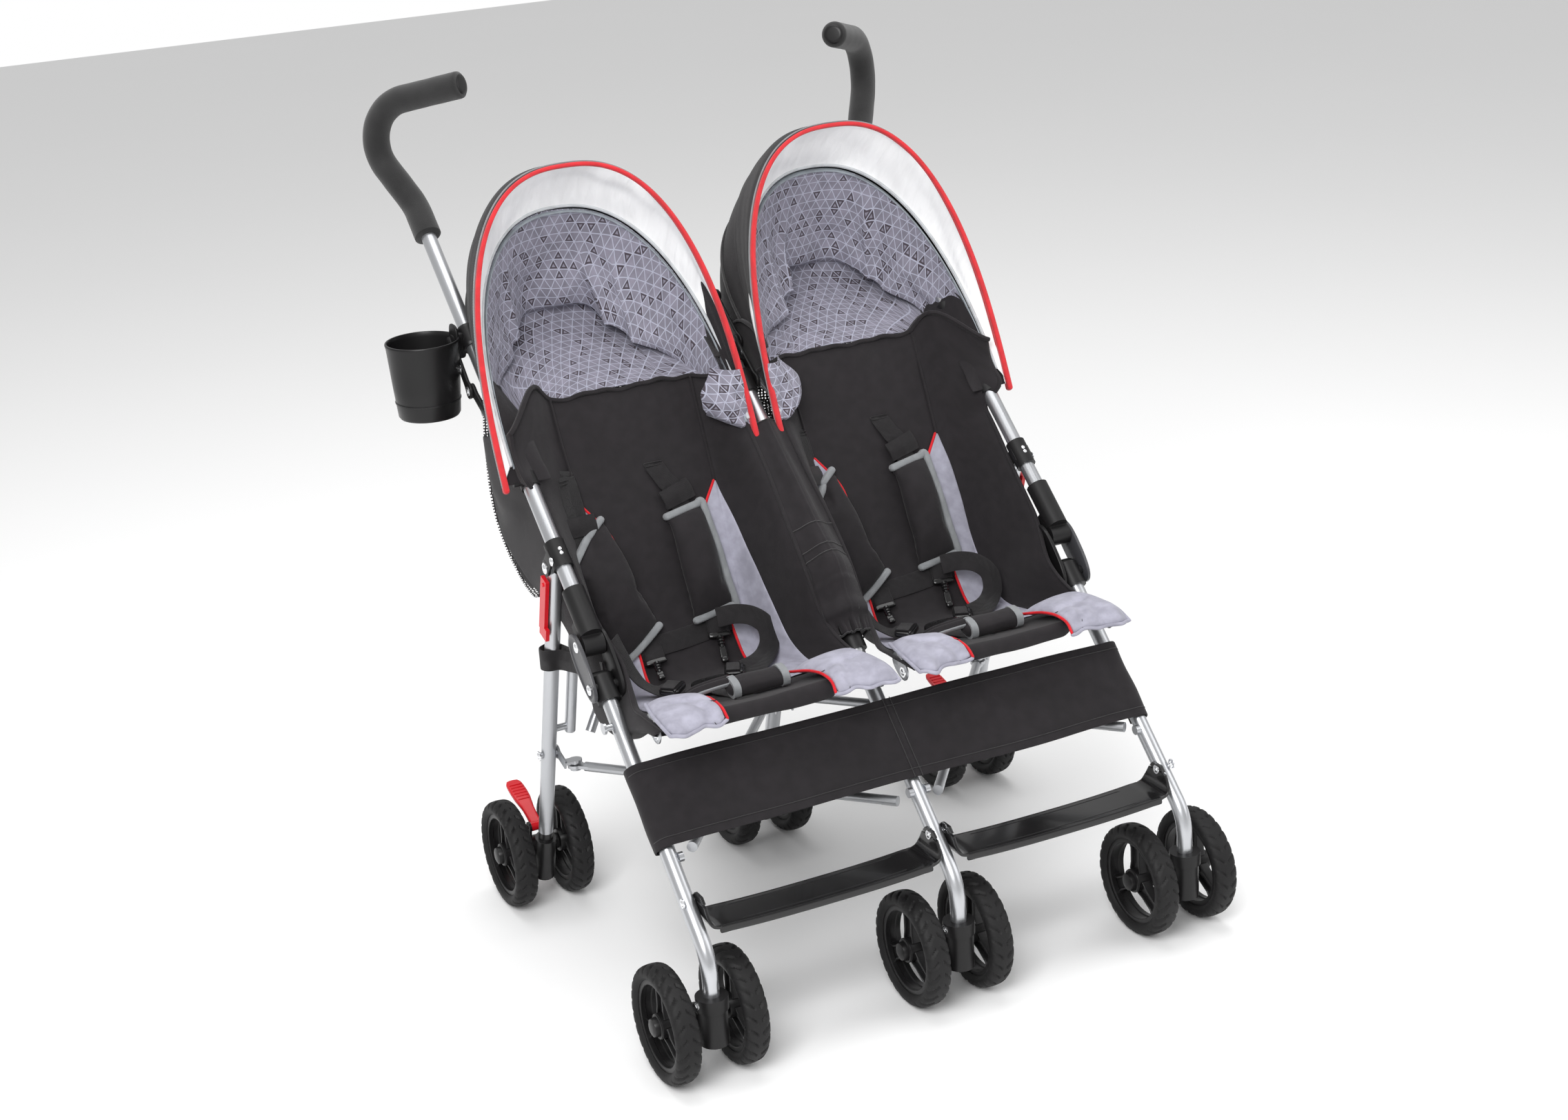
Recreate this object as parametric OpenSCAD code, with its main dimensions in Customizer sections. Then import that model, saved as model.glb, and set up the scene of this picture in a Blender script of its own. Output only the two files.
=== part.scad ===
// Side-by-side double umbrella stroller: three tube frames with hinged front legs,
// crossed floor bars and crossed back bars that let the whole buggy fold up.
// Millimetres. Front is -Y, up is +Z, left is -X. The floor is z = 0.

/* [Frame] */
// Distance between neighbouring tube frames
frame_pitch = 320; // [300:5:340]
// Outer diameter of the frame tubes
tube_d = 19; // [18:0.5:20]
// Slope of the upper tubes above the horizontal
upper_slope = 41.5; // [40:0.5:43]
// Slope of the front legs above the horizontal
lower_slope = 44.5; // [43:0.5:46]
// Height of the knuckle pins above the floor
knuckle_z = 443; // [440:1:446]
// How far each tube's centre line passes to the side of the knuckle pin
knuckle_offset = 11; // [10:0.5:11.5]
// Length of the side upper tubes up to the handle bend
handle_run = 652; // [630:1:660]
// Length of the middle upper tube
middle_run = 372; // [366:1:380]

/* [Wheels] */
// Wheel radius
wheel_r = 70; // [66:1:72]
// Tyre width
tyre_w = 30; // [26:1:32]
// Distance between the two wheels of a front caster
front_twin = 85; // [82:1:88]
// Distance between the two wheels of a rear leg
rear_twin = 78; // [76:1:80]
// Distance from the front axles to the rear axles
wheelbase = 505; // [500:1:510]
// Number of spokes in a wheel
spokes = 3; // [3:1:5]

/* [Seats and covers] */
// Thickness of the sling seat fabric and its padding
seat_t = 7; // [5:0.5:8]
// Thickness of the hood fabric
hood_t = 3; // [2:0.5:3]
// Width of the calf panel along the legs
calf_w = 104; // [90:1:110]
// Depth of a footrest strap from front to back
footrest_w = 54; // [44:1:58]

/* [Small parts] */
// Outer diameter of the foam grips
grip_d = 34; // [30:1:36]
// Top diameter of the cup holder
cup_d = 92; // [84:1:96]
// Depth of the cup holder
cup_h = 96; // [86:1:100]
// Diameter of the floor bars and back bars
bar_d = 12; // [11:0.5:12]

/* [Hidden] */
$fn = 48;
shift = [23, -99, 0];          // puts the origin under the middle of the whole buggy
fit = 0.05;                    // radial running clearance of every pin
pin_r = 4;
tube_r = tube_d / 2;

function dir(a) = [cos(a), sin(a)];
function at(o, a, s, n = 0) = o + s * dir(a) + n * dir(a + 90);
function turned(p, c, a) =
  let (v = p - c) c + [cos(a) * v[0] - sin(a) * v[1], sin(a) * v[0] + cos(a) * v[1]];
function space(x, p) = [x, p[0], p[1]];
function unit(v) = v / norm(v);
function mix(a, b, t) = a + (b - a) * t;

// Side-view points are [y, z], in each frame's own plane.
knuckle = [-14, knuckle_z];
function upper(s, n = 0) = at(knuckle, upper_slope, s, knuckle_offset + n);
function lower(s, n = 0) = at(knuckle, lower_slope + 180, s, knuckle_offset + n);
saddle_s = 117;
pivot_drop = 24;
leg_pivot = upper(saddle_s, -pivot_drop);
rear_foot = [234, 42];
leg_length = norm(rear_foot - leg_pivot);
leg_dir = unit(rear_foot - leg_pivot);
leg_angle = atan2(leg_dir[1], leg_dir[0]);
function rear(s, n = 0) = at(leg_pivot, leg_angle, s, n);
front_axle = [-wheelbase / 2, wheel_r];
rear_axle = [wheelbase / 2, wheel_r];
caster_y = -289;
ankle_s = (knuckle[0] - caster_y + knuckle_offset * sin(lower_slope)) / cos(lower_slope);
ankle = lower(ankle_s);
bracket_back = [150, 225];     // floor bar bolt at the rear leg
bracket_front = [-205, 245];   // floor bar end at the front leg
bolt_x = 26;                   // bolts stand this far inside their frame's plane
bar_level = 7;                 // crossed bars pass this far to each side of their plane
bar_span = frame_pitch - 2 * bolt_x;
floor_run = norm(bracket_front - bracket_back);
floor_pitch = atan2(bracket_front[1] - bracket_back[1], bracket_front[0] - bracket_back[0]);
floor_yaw = atan2(bar_span, floor_run);
floor_length = norm([bar_span, floor_run]);
bracket_pin = rear(293);
back_s = 345;                  // where the back bars' upper brackets sit
back_top = upper(back_s, -pivot_drop);
back_foot = [138, 263];
back_foot_x = 42;
back_span = frame_pitch - bolt_x - back_foot_x;
back_run = norm(back_foot - back_top);
back_pitch = atan2(back_foot[1] - back_top[1], back_foot[0] - back_top[0]);
back_yaw = atan2(back_span, back_run);
back_length = norm([back_span, back_run]);

LEFT = -1;
MIDDLE = 0;
RIGHT = 1;
ALUMINIUM = "silver";
BLACK = [0.08, 0.08, 0.08];
RED = "crimson";
GREY = [0.62, 0.62, 0.70];

// ---------- building blocks ----------

module placed() {
  translate(shift) children();
}

module at_frame(side) {
  placed() translate([side * frame_pitch, 0, 0]) children();
}

// Cylinder between two points
module rod(a, b, d) {
  v = b - a;
  translate(a)
    rotate([0, acos(v[2] / norm(v)), atan2(v[1], v[0])])
      cylinder(h = norm(v), d = d);
}

// Cylinder along X at a side-view point
module cross_rod(p, x1, x2, d) {
  translate([x1, p[0], p[1]]) rotate([0, 90, 0]) cylinder(h = x2 - x1, d = d);
}

// Box along a sloped line in the side view: s and n are [from, to] ranges
module sloped_box(o, a, s, n, x) {
  translate([0, o[0], o[1]])
    rotate([a, 0, 0])
      translate([x[0], s[0], n[0]])
        cube([x[1] - x[0], s[1] - s[0], n[1] - n[0]]);
}

// One torus bend between two straight runs; it is a hair thicker than they are
module bend(before, corner, after, r, d) {
  e1 = unit(corner - before);
  e2 = unit(after - corner);
  angle = acos(e1 * e2);
  centre = corner + unit(e2 - e1) * r / cos(angle / 2);
  axis = unit(cross(e1, e2));
  out = cross(e1, axis);
  multmatrix([
    [out[0], e1[0], axis[0], centre[0]],
    [out[1], e1[1], axis[1], centre[1]],
    [out[2], e1[2], axis[2], centre[2]],
    [0, 0, 0, 1]
  ])
    rotate_extrude(angle = angle) translate([r, 0]) circle(d = d + 0.1);
}

function trim(before, corner, after, r) =
  r * tan(acos(unit(corner - before) * unit(after - corner)) / 2);

// Tube through a list of points with a bend of radius r at each inner point
module bent_rod(points, d, r) {
  last = len(points) - 1;
  for (i = [0 : last - 1]) {
    a = points[i];
    b = points[i + 1];
    cut_a = i == 0 ? 0 : trim(points[i - 1], a, b, r) - 1;
    cut_b = i == last - 1 ? 0 : trim(a, b, points[i + 2], r) - 1;
    rod(a + unit(b - a) * cut_a, b - unit(b - a) * cut_b, d);
  }
  for (i = [1 : last - 1]) bend(points[i - 1], points[i], points[i + 1], r, d);
}

// Closed sheet of even thickness around a grid of points
module sheet(grid, t) {
  rows = len(grid) - 1;
  cols = len(grid[0]) - 1;
  function normal(i, j) = unit(cross(
    grid[min(i + 1, rows)][j] - grid[max(i - 1, 0)][j],
    grid[i][min(j + 1, cols)] - grid[i][max(j - 1, 0)]
  ));
  function id(i, j, k) = k * (rows + 1) * (cols + 1) + i * (cols + 1) + j;
  function quad(a, b, c, d) = [[a, b, c], [a, c, d]];
  points = [for (k = [0, 1]) for (i = [0 : rows]) for (j = [0 : cols])
    grid[i][j] + normal(i, j) * t * (k - 0.5)];
  skins = [for (i = [0 : rows - 1]) for (j = [0 : cols - 1]) each concat(
    quad(id(i, j, 0), id(i + 1, j, 0), id(i + 1, j + 1, 0), id(i, j + 1, 0)),
    quad(id(i, j, 1), id(i, j + 1, 1), id(i + 1, j + 1, 1), id(i + 1, j, 1))
  )];
  ends = [for (i = [0 : rows - 1]) each concat(
    quad(id(i, 0, 0), id(i, 0, 1), id(i + 1, 0, 1), id(i + 1, 0, 0)),
    quad(id(i, cols, 0), id(i + 1, cols, 0), id(i + 1, cols, 1), id(i, cols, 1))
  )];
  sides = [for (j = [0 : cols - 1]) each concat(
    quad(id(0, j, 0), id(0, j + 1, 0), id(0, j + 1, 1), id(0, j, 1)),
    quad(id(rows, j, 0), id(rows, j, 1), id(rows, j + 1, 1), id(rows, j + 1, 0))
  )];
  polyhedron(points, concat(skins, ends, sides));
}

// Value at t along a list of [t, value] stations, eased between them
function along(stations, t, i = 0) =
  i >= len(stations) - 1 ? stations[len(stations) - 1][1] :
  t <= stations[i + 1][0] ?
    let (k = (t - stations[i][0]) / (stations[i + 1][0] - stations[i][0]))
      mix(stations[i][1], stations[i + 1][1], k) :
  along(stations, t, i + 1);

// ---------- tube frames ----------

handle_lean = [58, 68, 116];   // from the handle bend up to the grip corner
grip_reach = [-117, -122, 36]; // from the grip corner to its free end

function handle_path(side) =
  let (
    bend_point = space(0, upper(handle_run)),
    corner = bend_point + [side * handle_lean[0], handle_lean[1], handle_lean[2]],
    end = corner + [side * grip_reach[0], grip_reach[1], grip_reach[2]]
  ) [space(0, upper(grip_start)), bend_point, corner, end];
grip_start = 600;
handle_bend_r = 55;

module upper_tube(side) {
  color(ALUMINIUM) at_frame(side)
    if (side == MIDDLE) {
      rod(space(0, upper(14)), space(0, upper(middle_run)), tube_d);
    } else {
      path = handle_path(side);
      tip = path[3] - 8 * unit(path[3] - path[2]);
      bent_rod([space(0, upper(14)), path[1], path[2], tip], tube_d, handle_bend_r);
    }
}

socket_r = 13;
barrel_r = 14;
barrel_x = 13;

// Knuckle socket, rear leg saddle and back bar clamp, all fixed on the upper tube
module tube_fittings(side) {
  color(BLACK) at_frame(side) {
    difference() {
      union() {
        cross_rod(knuckle, -barrel_x, barrel_x, 2 * barrel_r);
        sloped_box(knuckle, upper_slope, [0, 30], [-6, 13.4], [0.4 - barrel_x, barrel_x - 0.4]);
        rod(space(0, upper(26)), space(0, upper(64)), 2 * socket_r);
      }
      rod(space(0, upper(13.9)), space(0, upper(70)), tube_d);
      cross_rod(knuckle, -20, 20, 2 * (pin_r + fit));
    }
    difference() {
      union() {
        rod(space(0, upper(saddle_s - 18)), space(0, upper(saddle_s + 18)), 25);
        for (m = [-1, 1]) {
          x = m > 0 ? [9.8, 13] : [-13, -9.8];
          cross_rod(leg_pivot, x[0], x[1], 20);
          sloped_box(leg_pivot, upper_slope, [-9, 9], [0, pivot_drop + 4], [x[0] + 0.2, x[1] - 0.2]);
        }
      }
      rod(space(0, upper(saddle_s - 20)), space(0, upper(saddle_s + 20)), tube_d);
    }
    cross_rod(leg_pivot, -13.6, 13.6, 2 * pin_r);
    difference() {
      union() {
        rod(space(0, upper(back_s - 14)), space(0, upper(back_s + 14)), 25);
        sloped_box(back_top, upper_slope, [-8, 8], [0, pivot_drop], [-9, 9]);
        cross_rod(back_top, -9.5, 9.5, 18);
      }
      rod(space(0, upper(back_s - 20)), space(0, upper(back_s + 20)), tube_d);
      cross_rod(back_top, -20, 20, 2 * (pin_r + fit));
    }
    canopy_hinge(side);
  }
}

// Collar and pin that carry the feet of the canopy arches
module canopy_hinge(side) {
  pivot = hood_foot[0][1];
  s = (pivot - knuckle) * dir(upper_slope);
  difference() {
    rod(space(0, upper(s - 9)), space(0, upper(s + 9)), 23.6);
    rod(space(0, upper(s - 12)), space(0, upper(s + 12)), tube_d);
  }
  for (m = [-1, 1]) {
    reach = m == side ? 19.5 : 12.3;
    cross_rod(pivot, min(m * 9.8, m * reach), max(m * 9.8, m * reach), 2 * pin_r);
  }
}

flange_x = [13.3, 17.3];
fork_s = 50;                   // where the fork's solid socket starts

module knuckle_fork(side) {
  color(BLACK) at_frame(side) {
    difference() {
      union() {
        for (m = [-1, 1]) {
          x = m > 0 ? flange_x : [-flange_x[1], -flange_x[0]];
          cross_rod(knuckle, x[0], x[1], 32);
          sloped_box(knuckle, lower_slope + 180, [0, fork_s + 4], [-6, 22],
            [x[0] + 0.2, x[1] - 0.2]);
        }
        // the web behind the pin is the stop that keeps the frame straight
        sloped_box(knuckle, lower_slope + 180, [16, fork_s + 4], [16.5, 22.5], [-16.8, 16.8]);
        sloped_box(knuckle, lower_slope + 180, [fork_s, fork_s + 14], [-5, 25], [-17.6, 17.6]);
        rod(space(0, lower(fork_s)), space(0, lower(fork_s + 34)), 27);
      }
      rod(space(0, lower(fork_s - 0.1)), space(0, lower(fork_s + 40)), tube_d);
      cross_rod(knuckle, -20, 20, 2 * (pin_r + fit));
    }
    cross_rod(knuckle, -18, 18, 2 * pin_r);
    for (m = [-1, 1])
      cross_rod(knuckle, min(m * 17, m * 20), max(m * 17, m * 20), 14);
  }
}

stud_s = 102;

module front_leg(side) {
  color(ALUMINIUM) at_frame(side) {
    foot = [0, caster_y, 64];
    bent_rod([space(0, lower(fork_s)), space(0, ankle), foot], tube_d, 60);
    for (m = [-1, 1])
      if (m != side) cross_rod(bracket_front, min(m * 8, m * 14), max(m * 8, m * 14), 12);
    if (side != MIDDLE) {
      cross_rod(lower(stud_s), min(side * 8, side * 20), max(side * 8, side * 20), 8);
      cross_rod(lower(stud_s), min(side * 17, side * 20), max(side * 17, side * 20), 14);
    }
  }
}

brace_x = 28;

module rear_leg(side) {
  color(ALUMINIUM) at_frame(side) {
    difference() {
      union() {
        rod(space(0, leg_pivot), space(0, rear_foot), tube_d);
        cross_rod(leg_pivot, -9, 9, tube_d - 0.8);
      }
      cross_rod(leg_pivot, -20, 20, 2 * (pin_r + fit));
      cross_rod(bracket_pin, -20, 20, 2 * (pin_r + fit));
      if (side != MIDDLE) cross_rod(rear(latch_s), -20, 20, 2 * 2.5);
    }
    // second tube beside each outer rear leg
    if (side != MIDDLE) {
      x = -side * brace_x;
      rod(space(x, rear(62)), space(x, rear(262)), 14);
      for (s = [70, 254]) cross_rod(rear(s), min(0, x) + 8 * (1 - side) / 2,
        max(0, x) - 8 * (1 + side) / 2, 9);
    }
    color(BLACK) rear_housing(side);
  }
}

axle_r = 4;

// Housing, axle and brake ears at the foot of a rear leg
module rear_housing(side) {
  rod(space(0, rear(leg_length - 58)), space(0, rear(leg_length + 6)), 27);
  cross_rod(rear_axle, -20, 20, 30);
  cross_rod(rear_axle, -(rear_twin / 2 + 12), rear_twin / 2 + 12, 2 * axle_r);
  if (side != MIDDLE) {
    difference() {
      union()
        for (m = [-1, 1]) {
          x = m > 0 ? [9, 12] : [-12, -9];
          cross_rod(pedal_pin, x[0], x[1], 14);
          sloped_box(rear_axle, 100, [10, 36], [-6, 6], [x[0] + 0.2, x[1] - 0.2]);
        }
      cross_rod(pedal_pin, -20, 20, 2 * (2.5 + fit));
    }
  }
}

module caster_housing(side) {
  color(BLACK) at_frame(side) {
    difference() {
      union() {
        translate([0, caster_y, 52]) cylinder(h = 60, d = 34);
        translate([0, caster_y, 96]) cylinder(h = 16, d = 38);
        translate([-13, caster_y, 56]) cube([26, front_axle[0] - caster_y, 28]);
        cross_rod(front_axle, -22, 22, 30);
      }
      translate([0, caster_y, 64]) cylinder(h = 60, d = tube_d + 2 * fit);
    }
    cross_rod(front_axle, -(front_twin / 2 + 12), front_twin / 2 + 12, 2 * axle_r);
  }
}

hub_r = 15;
rim_r = 55;

// Wheel around X, its domed cap towards +X
module wheel() {
  w = tyre_w / 2;
  color(BLACK) {
    rotate([0, 90, 0]) rotate_extrude()
      polygon([[rim_r - 1, -w + 4], [wheel_r - 8, -w], [wheel_r - 2, -w + 5],
        [wheel_r, -w + 9], [wheel_r, w - 9], [wheel_r - 2, w - 5],
        [wheel_r - 8, w], [rim_r - 1, w - 4]]);
    difference() {
      union() {
        rotate([0, 90, 0]) rotate_extrude()
          polygon([[rim_r - 7, -10], [rim_r - 1, -10], [rim_r - 1, 10], [rim_r - 7, 10]]);
        for (k = [0 : spokes - 1]) rotate([k * 360 / spokes, 0, 0])
          translate([-7, -9, hub_r - 5]) cube([14, 18, rim_r - hub_r]);
        translate([-17, 0, 0]) rotate([0, 90, 0]) cylinder(h = 32, r = hub_r);
        translate([15, 0, 0]) rotate([0, 90, 0]) cylinder(h = 4, r = 11);
      }
      translate([-20, 0, 0]) rotate([0, 90, 0]) cylinder(h = 33, r = axle_r + fit);
    }
  }
}

// One wheel of a twin pair, on side m of its frame
module twin_wheel(side, axle, twin, m) {
  at_frame(side) translate([m * twin / 2, axle[0], axle[1]])
    rotate([0, 0, m > 0 ? 0 : 180]) wheel();
}

pedal_pin = at(rear_axle, 100, 32);
pedal_slope = 20;

module brake_pedal(side) {
  color(RED) at_frame(side) {
    cross_rod(pedal_pin, -8.7, 8.7, 12);
    sloped_box(pedal_pin, pedal_slope, [0, 40], [-3.8, 3.8], [-8.4, 8.4]);
    sloped_box(pedal_pin, pedal_slope, [38, 88], [-4, 4], [-16, 16]);
    for (s = [44 : 7 : 79])
      sloped_box(pedal_pin, pedal_slope, [s, s + 3], [3, 6], [-14, 14]);
    cross_rod(pedal_pin, -12, 12, 5);
  }
}

latch_s = 24;

module fold_latch(side) {
  color(RED) at_frame(side) {
    x = side > 0 ? [10.2, 15] : [-15, -10.2];
    sloped_box(leg_pivot, leg_angle, [latch_s - 8, 92], [-8, 8], x);
    sloped_box(leg_pivot, leg_angle, [84, 100], [-14, 6], x);
    cross_rod(rear(latch_s), min(0, side * 16.5), max(0, side * 16.5), 5 - 2 * fit);
  }
}

// ---------- crossed bars ----------

// Places children at a bolt: +Y along the bar, Z square to the bars' plane
module at_bolt(side, m, point, pitch, level, yaw) {
  at_frame(side) translate([m * bolt_x, point[0], point[1]])
    rotate([pitch, 0, 0]) translate([0, 0, -level]) rotate([0, 0, -m * yaw]) children();
}

// Bracket that tilts on a cross pin and carries a bolt for each bar
module yaw_bracket(side, pin, bolt, pitch) {
  level = side == MIDDLE ? bar_level : -bar_level;
  color(ALUMINIUM) {
    for (m = [-1, 1])
      if (m != side) {
        at_frame(side) {
          x = m > 0 ? [10, 13] : [-13, -10];
          cross_rod(pin, x[0], x[1], 18);
          reach = norm(bolt - pin);
          if (reach > 1)
            sloped_box(pin, atan2(bolt[1] - pin[1], bolt[0] - pin[0]), [0, reach + 5],
              [-6, 6], [x[0] + 0.2, x[1] - 0.2]);
        }
        at_bolt(side, m, bolt, pitch, 0, 0) {
          translate([m > 0 ? -bolt_x + 10.6 : 0, -8, -1.5]) cube([bolt_x - 10.6, 16, 3]);
          cylinder(h = 3, r = 9, center = true);
          // the bolt and its washer and head stand out on the bar's side of the ear
          mirror([0, 0, level > 0 ? 1 : 0]) {
            translate([0, 0, -1]) cylinder(h = 13, r = pin_r);
            translate([0, 0, 1]) cylinder(h = 2.5, r = 7);
            translate([0, 0, 10.5]) cylinder(h = 2, r = 7);
          }
        }
      }
    at_frame(side) cross_rod(pin, -13, 13, 2 * pin_r);
  }
}

// Crossed bar with a flat eye at its bolt and a plug at its free end
module crossed_bar(length) {
  difference() {
    union() {
      cylinder(h = 4, r = 10, center = true);
      translate([-6, 0, -2]) cube([12, 22, 4]);
    }
    cylinder(h = 10, r = pin_r + fit, center = true);
  }
  translate([0, 15, 0]) rotate([-90, 0, 0]) cylinder(h = length - 20, d = bar_d);
  translate([0, length - 22, 0]) rotate([-90, 0, 0]) cylinder(h = 20, d = bar_d + 0.5);
}

module floor_bar(side, m) {
  level = side == MIDDLE ? bar_level : -bar_level;
  color(ALUMINIUM) at_bolt(side, m, bracket_back, floor_pitch, level, floor_yaw)
    crossed_bar(floor_length);
}

module back_bar(side, m) {
  level = side == MIDDLE ? bar_level : -bar_level;
  color(ALUMINIUM) at_bolt(side, m, back_top, back_pitch, level, back_yaw)
    crossed_bar(back_length);
}

// ---------- handles and cup holder ----------

module grip(side) {
  color(BLACK) at_frame(side) {
    path = handle_path(side);
    difference() {
      bent_rod(path, grip_d, handle_bend_r);
      tip = path[3] - 7.5 * unit(path[3] - path[2]);
      first = path[0] - 5 * unit(path[1] - path[0]);
      bent_rod([first, path[1], path[2], tip], tube_d, handle_bend_r);
    }
  }
}

cup_tube_s = 440;
cup_gap = 6;

module cup_holder() {
  hold = upper(cup_tube_s);
  x = -tube_r - cup_gap - cup_d / 2;
  color(BLACK) at_frame(LEFT) {
    difference() {
      union() {
        translate([x, hold[0], hold[1] - cup_h + 8])
          rotate_extrude() polygon([[0, 0], [cup_d / 2 - 8, 0], [cup_d / 2, cup_h], [0, cup_h]]);
        rod(space(0, upper(cup_tube_s - 14)), space(0, upper(cup_tube_s + 14)), 27);
        translate([x + cup_d / 2 - 5, hold[0] - 9, hold[1] - 22]) cube([cup_gap + 5, 18, 28]);
      }
      translate([x, hold[0], hold[1] - cup_h + 8])
        rotate_extrude() polygon([[0, 3], [cup_d / 2 - 11, 3], [cup_d / 2 - 3, cup_h + 1], [0, cup_h + 1]]);
      rod(space(0, upper(cup_tube_s - 40)), space(0, upper(cup_tube_s + 40)), tube_d + 0.2);
    }
  }
}

// ---------- seats, hoods and covers ----------

// Seat shape in the side view: t runs from the top of the back to the front edge
seat_middle = [[0, [228, 668]], [0.3, [146, 510]], [0.52, [78, 372]], [0.6, [50, 344]],
  [0.7, [-20, 348]], [0.85, [-110, 364]], [1, [-188, 376]]];
seat_edge = [[0, [210, 662]], [0.3, [80, 546]], [0.5, [-4, 462]], [0.6, [-40, 415]],
  [0.7, [-78, 390]], [0.85, [-130, 384]], [1, [-186, 380]]];
seat_half = [[0, 136], [0.25, 136], [0.4, 132], [0.62, 134], [0.75, 146], [1, 145]];
wall_share = 0.34;

// 0 on the flat of the seat, 1 at its side edges
function wall(u) = let (k = max(0, (abs(u) - (1 - wall_share)) / wall_share))
  k * k * (3 - 2 * k);
function quilt(u, t) = t > 0.72 && abs(u) > 0.55 ? 4 * abs(sin(t * 900)) : 0;

function seat_point(u, t) =
  let (p = mix(along(seat_middle, t), along(seat_edge, t), wall(u)))
    [u * along(seat_half, t), p[0], p[1] + quilt(u, t) - 4 * (1 - abs(u)) * (t > 0.6 ? 1 : 0)];

module seat(side) {
  grid = [for (i = [0 : 30]) [for (j = [-8 : 8]) seat_point(j / 8, i / 30)]];
  color(BLACK) placed() translate([side * frame_pitch / 2, 0, 0]) sheet(grid, seat_t);
}

// Hood ribs: t runs from the front arch (0) over the top to the lower back edge (1)
hood_foot = [[0, [146, 600]], [0.18, [172, 646]], [0.34, [206, 692]], [0.6, [262, 716]],
  [0.8, [284, 700]], [1, [270, 672]]];
hood_crown = [[0, [252, 946]], [0.18, [318, 938]], [0.34, [366, 912]], [0.6, [412, 840]],
  [0.8, [396, 745]], [1, [300, 668]]];
hood_half = [[0, 164], [0.18, 156], [0.34, 147], [0.6, 144], [0.8, 142], [1, 138]];
hood_lean = [[0, 18], [0.18, 9], [0.34, 0], [1, 0]];
visor_t = 0.34;

// a runs from -90 at the outer foot over 0 at the crown to 90 at the inner foot
function hood_point(side, a, t) =
  let (
    rise = pow(max(0, cos(a)), 0.86),
    p = mix(along(hood_foot, t), along(hood_crown, t), rise),
    x = along(hood_half, t) * sign(a) * pow(abs(sin(a)), 0.92)
  ) [side * (along(hood_lean, t) - x) , p[0], p[1]];

module hood(side, from, to, steps) {
  grid = [for (i = [0 : steps]) [for (a = [-90 : 9 : 90])
    hood_point(side, side * a, mix(from, to, i / steps))]];
  placed() translate([side * frame_pitch / 2, 0, 0]) sheet(grid, hood_t);
}

module canopy_front(side) {
  color(GREY) hood(side, 0, visor_t - 0.035, 6);
}

module canopy_hoods() {
  color(BLACK) for (side = [LEFT, RIGHT]) hood(side, visor_t, 1, 12);
}

calf_s = [158, 158 + calf_w];
calf_n = -13;                  // in front of the legs

function calf_point(x, s) = space(x, lower(s, calf_n - 3 * cos(x / frame_pitch * 180)
  * cos(x / frame_pitch * 180)));

module calf_panel() {
  grid = [for (i = [0 : 4]) [for (j = [-16 : 16])
    calf_point(j / 16 * (frame_pitch + 12), mix(calf_s[0], calf_s[1], i / 4))]];
  color(BLACK) placed() sheet(grid, 3);
}

strap_z = 181;
ear_z = 217;

module footrests() {
  half = frame_pitch / 2 - tube_r - 0.4;
  strap = [[-half, ear_z], [-half, strap_z + 10], [-half + 6, strap_z + 2], [-half + 16, strap_z],
    [0, strap_z - 5], [half - 16, strap_z], [half - 6, strap_z + 2], [half, strap_z + 10],
    [half, ear_z], [half - 4, ear_z], [half - 4, strap_z + 12], [half - 9, strap_z + 6],
    [half - 17, strap_z + 4], [0, strap_z - 1], [-half + 17, strap_z + 4],
    [-half + 9, strap_z + 6], [-half + 4, strap_z + 12], [-half + 4, ear_z]];
  color(BLACK) for (side = [LEFT, RIGHT])
    placed() translate([side * frame_pitch / 2, -222, 0])
      rotate([90, 0, 0]) linear_extrude(height = footrest_w) polygon(strap);
}

bag_outer = [[272, 655], [324, 655], [337, 590], [330, 520], [290, 455], [250, 440], [224, 462]];
bag_inner = [[275, 660], [321, 660], [334, 590], [327, 521], [289, 458], [251, 443], [227, 463]];
bag_half = 300;

module storage_bag() {
  color(BLACK) placed() difference() {
    translate([-bag_half, 0, 0]) rotate([90, 0, 90])
      linear_extrude(height = 2 * bag_half) polygon(bag_outer);
    translate([-bag_half + 3, 0, 0]) rotate([90, 0, 90])
      linear_extrude(height = 2 * bag_half - 6) polygon(bag_inner);
  }
}

upper_tube(LEFT);  // upper_tube_left
upper_tube(MIDDLE);  // upper_tube_middle
upper_tube(RIGHT);  // upper_tube_right
tube_fittings(LEFT);  // tube_fittings_left
tube_fittings(MIDDLE);  // tube_fittings_middle
tube_fittings(RIGHT);  // tube_fittings_right
knuckle_fork(LEFT);  // knuckle_fork_left
knuckle_fork(MIDDLE);  // knuckle_fork_middle
knuckle_fork(RIGHT);  // knuckle_fork_right
front_leg(LEFT);  // front_leg_left
front_leg(MIDDLE);  // front_leg_middle
front_leg(RIGHT);  // front_leg_right
rear_leg(LEFT);  // rear_leg_left
rear_leg(MIDDLE);  // rear_leg_middle
rear_leg(RIGHT);  // rear_leg_right
caster_housing(LEFT);  // caster_housing_left
caster_housing(MIDDLE);  // caster_housing_middle
caster_housing(RIGHT);  // caster_housing_right
twin_wheel(LEFT, front_axle, front_twin, -1);  // front_wheel_left_outer
twin_wheel(LEFT, front_axle, front_twin, 1);  // front_wheel_left_inner
twin_wheel(MIDDLE, front_axle, front_twin, -1);  // front_wheel_middle_left
twin_wheel(MIDDLE, front_axle, front_twin, 1);  // front_wheel_middle_right
twin_wheel(RIGHT, front_axle, front_twin, -1);  // front_wheel_right_inner
twin_wheel(RIGHT, front_axle, front_twin, 1);  // front_wheel_right_outer
twin_wheel(LEFT, rear_axle, rear_twin, -1);  // rear_wheel_left_outer
twin_wheel(LEFT, rear_axle, rear_twin, 1);  // rear_wheel_left_inner
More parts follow.
